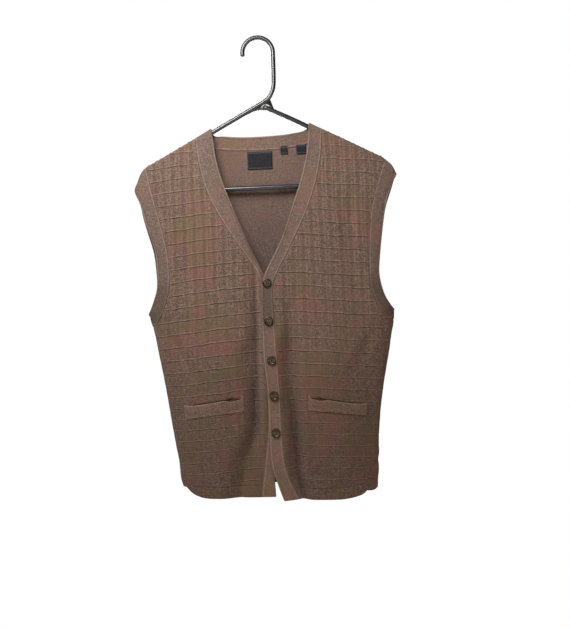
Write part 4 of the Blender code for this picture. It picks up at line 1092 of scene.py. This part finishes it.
def add_stitch(verts, faces, foot, side, upward, away):
    """One bent tube of thread over a pair of holes, with its middle at foot."""
    for k, (share, rise) in enumerate(STITCH_PATH):
        spot = foot + upward * share * HOLE_OFF + away * rise / TO_MM
        level = 0 < k < len(STITCH_PATH) - 1
        for corner in range(THREAD_CORNERS):
            angle = math.tau * corner / THREAD_CORNERS
            across = side * math.cos(angle) + (away if level else upward) * math.sin(angle)
            verts.append(spot + across * THREAD_R)
        if k:
            start = len(verts) - 2 * THREAD_CORNERS
            for corner in range(THREAD_CORNERS):
                after = (corner + 1) % THREAD_CORNERS
                ring = (corner, after, after + THREAD_CORNERS, corner + THREAD_CORNERS)
                faces.append([start + c for c in ring])


def dress_button(name, verts, faces):
    disc = nodes[name].data.copy()
    p = points_of(disc)
    middle, side, upward, away = button_axes(p)
    from_middle = p - middle
    radius = np.hypot(from_middle @ side, from_middle @ upward)
    face = middle + away * ((from_middle @ away).max() - FACE_SUNK)
    disc.shade_smooth()
    disc.set_sharp_from_angle(angle=SHARP_EDGE)
    keep_numbers(disc, "disc", radius)
    put_on(disc, "turned_" + name, name, HORN)
    for sideways in (-1, 1):
        add_stitch(verts, faces, face + side * sideways * HOLE_OFF, side, upward, away)


thread_verts, thread_faces = [], []
for number in range(1, 6):
    dress_button(f"button_{number}", thread_verts, thread_faces)
strands = bpy.data.meshes.new("button_thread")
strands.from_pydata(thread_verts, [], thread_faces)
strands.shade_smooth()
strands.materials.append(THREAD.material)
thread = bpy.data.objects.new("button_thread", strands)
bpy.context.scene.collection.objects.link(thread)
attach(thread, "root")
print("thread faces:", len(thread_faces))

# %% [markdown]

# %% [markdown]
# ## Studio
# A pale floor lies far below, and everything past the object is plain white. A soft key light
# from above in front shapes the knit, two weaker warm ones fill the sides, and one behind
# lights the back of the vest. A ring of even light would be simpler, but it would flatten the
# pillows and the creases. The surround is white to the camera alone. To the cloth it is weak
# and warm, because the shade on brown cloth is lit by the brown cloth around it.

# %% Floor
FLOOR = -1.25
FLOOR_HALF, FLOOR_FAR = 2.2, 0.4  # the far edge stays just below the camera's view
FLOOR_NEAR = FLOOR_FAR - 2 * FLOOR_HALF


def pale_finish():
    finish = Finish("studio_white", Roughness=0.95, Emission_Strength=0.78)
    tone = finish.blend(paint(0.86, 0.86, 0.86), paint(0.9, 0.9, 0.9), finish.noise(3, 2, 0.5))
    finish.feed(Base_Color=tone, Emission_Color=tone)
    return finish


corners = [(x, y, FLOOR) for x in (-FLOOR_HALF, FLOOR_HALF) for y in (FLOOR_NEAR, FLOOR_FAR)]
plane = bpy.data.meshes.new("floor")
plane.from_pydata(corners, [], [(0, 2, 3, 1)])
plane.materials.append(pale_finish().material)
floor = bpy.data.objects.new("floor", plane)
bpy.context.scene.collection.objects.link(floor)
floor.visible_diffuse = False
print("floor height:", FLOOR)

# %% Lights
WHITE, WARM = paint(1.0, 1.0, 1.0), paint(1.0, 0.86, 0.72)
COOL = (0.955, 1.0, 1.08)  # the key is a little cooler than white
AMBIENT = 0.055


def white_world():
    """White where the camera looks past the object, and a weak warm light everywhere else."""
    world = bpy.data.worlds.new("studio")
    surround = Tree(world)
    past = surround.add("LightPath", {}, {}, "Is Camera Ray")
    background = surround.nodes["Background"]
    surround.give(background.inputs["Color"], surround.blend(WARM, WHITE, past))
    strength = surround.add("MapRange", {}, {"Value": past, "To Min": AMBIENT})
    surround.give(background.inputs["Strength"], strength)
    bpy.context.scene.world = world


def area_light(name, place, target, size, power, colour):
    light = bpy.data.lights.new(name, "AREA")
    light.color = colour[:3]
    light.shape = "SQUARE"
    light.size = size
    light.energy = power
    lamp = bpy.data.objects.new(name, light)
    bpy.context.scene.collection.objects.link(lamp)
    way = Vector(target) - Vector(place)
    lamp.rotation_mode = "QUATERNION"
    lamp.rotation_quaternion = way.to_track_quat("-Z", "Y")
    lamp.location = place
    lamp.visible_camera = False


# name, place, what it points at (metres), size (metres), power (watts), colour
area_light("key", (-0.22, -0.52, 0.16), (0, 0, -0.27), 0.4, 8.2, COOL)
area_light("fill", (-1.2, -0.6, -0.35), (-0.17, 0, -0.36), 0.8, 6.2, WARM)
area_light("side_fill", (1.1, -0.75, -0.60), (0.14, 0, -0.52), 0.7, 5.2, WARM)
area_light("back_light", (-0.35, 1.7, 0.2), (0, 0, -0.45), 1.2, 38, WHITE)
white_world()
bpy.context.scene.view_settings.view_transform = "Standard"
print("lights:", len(bpy.data.lights))
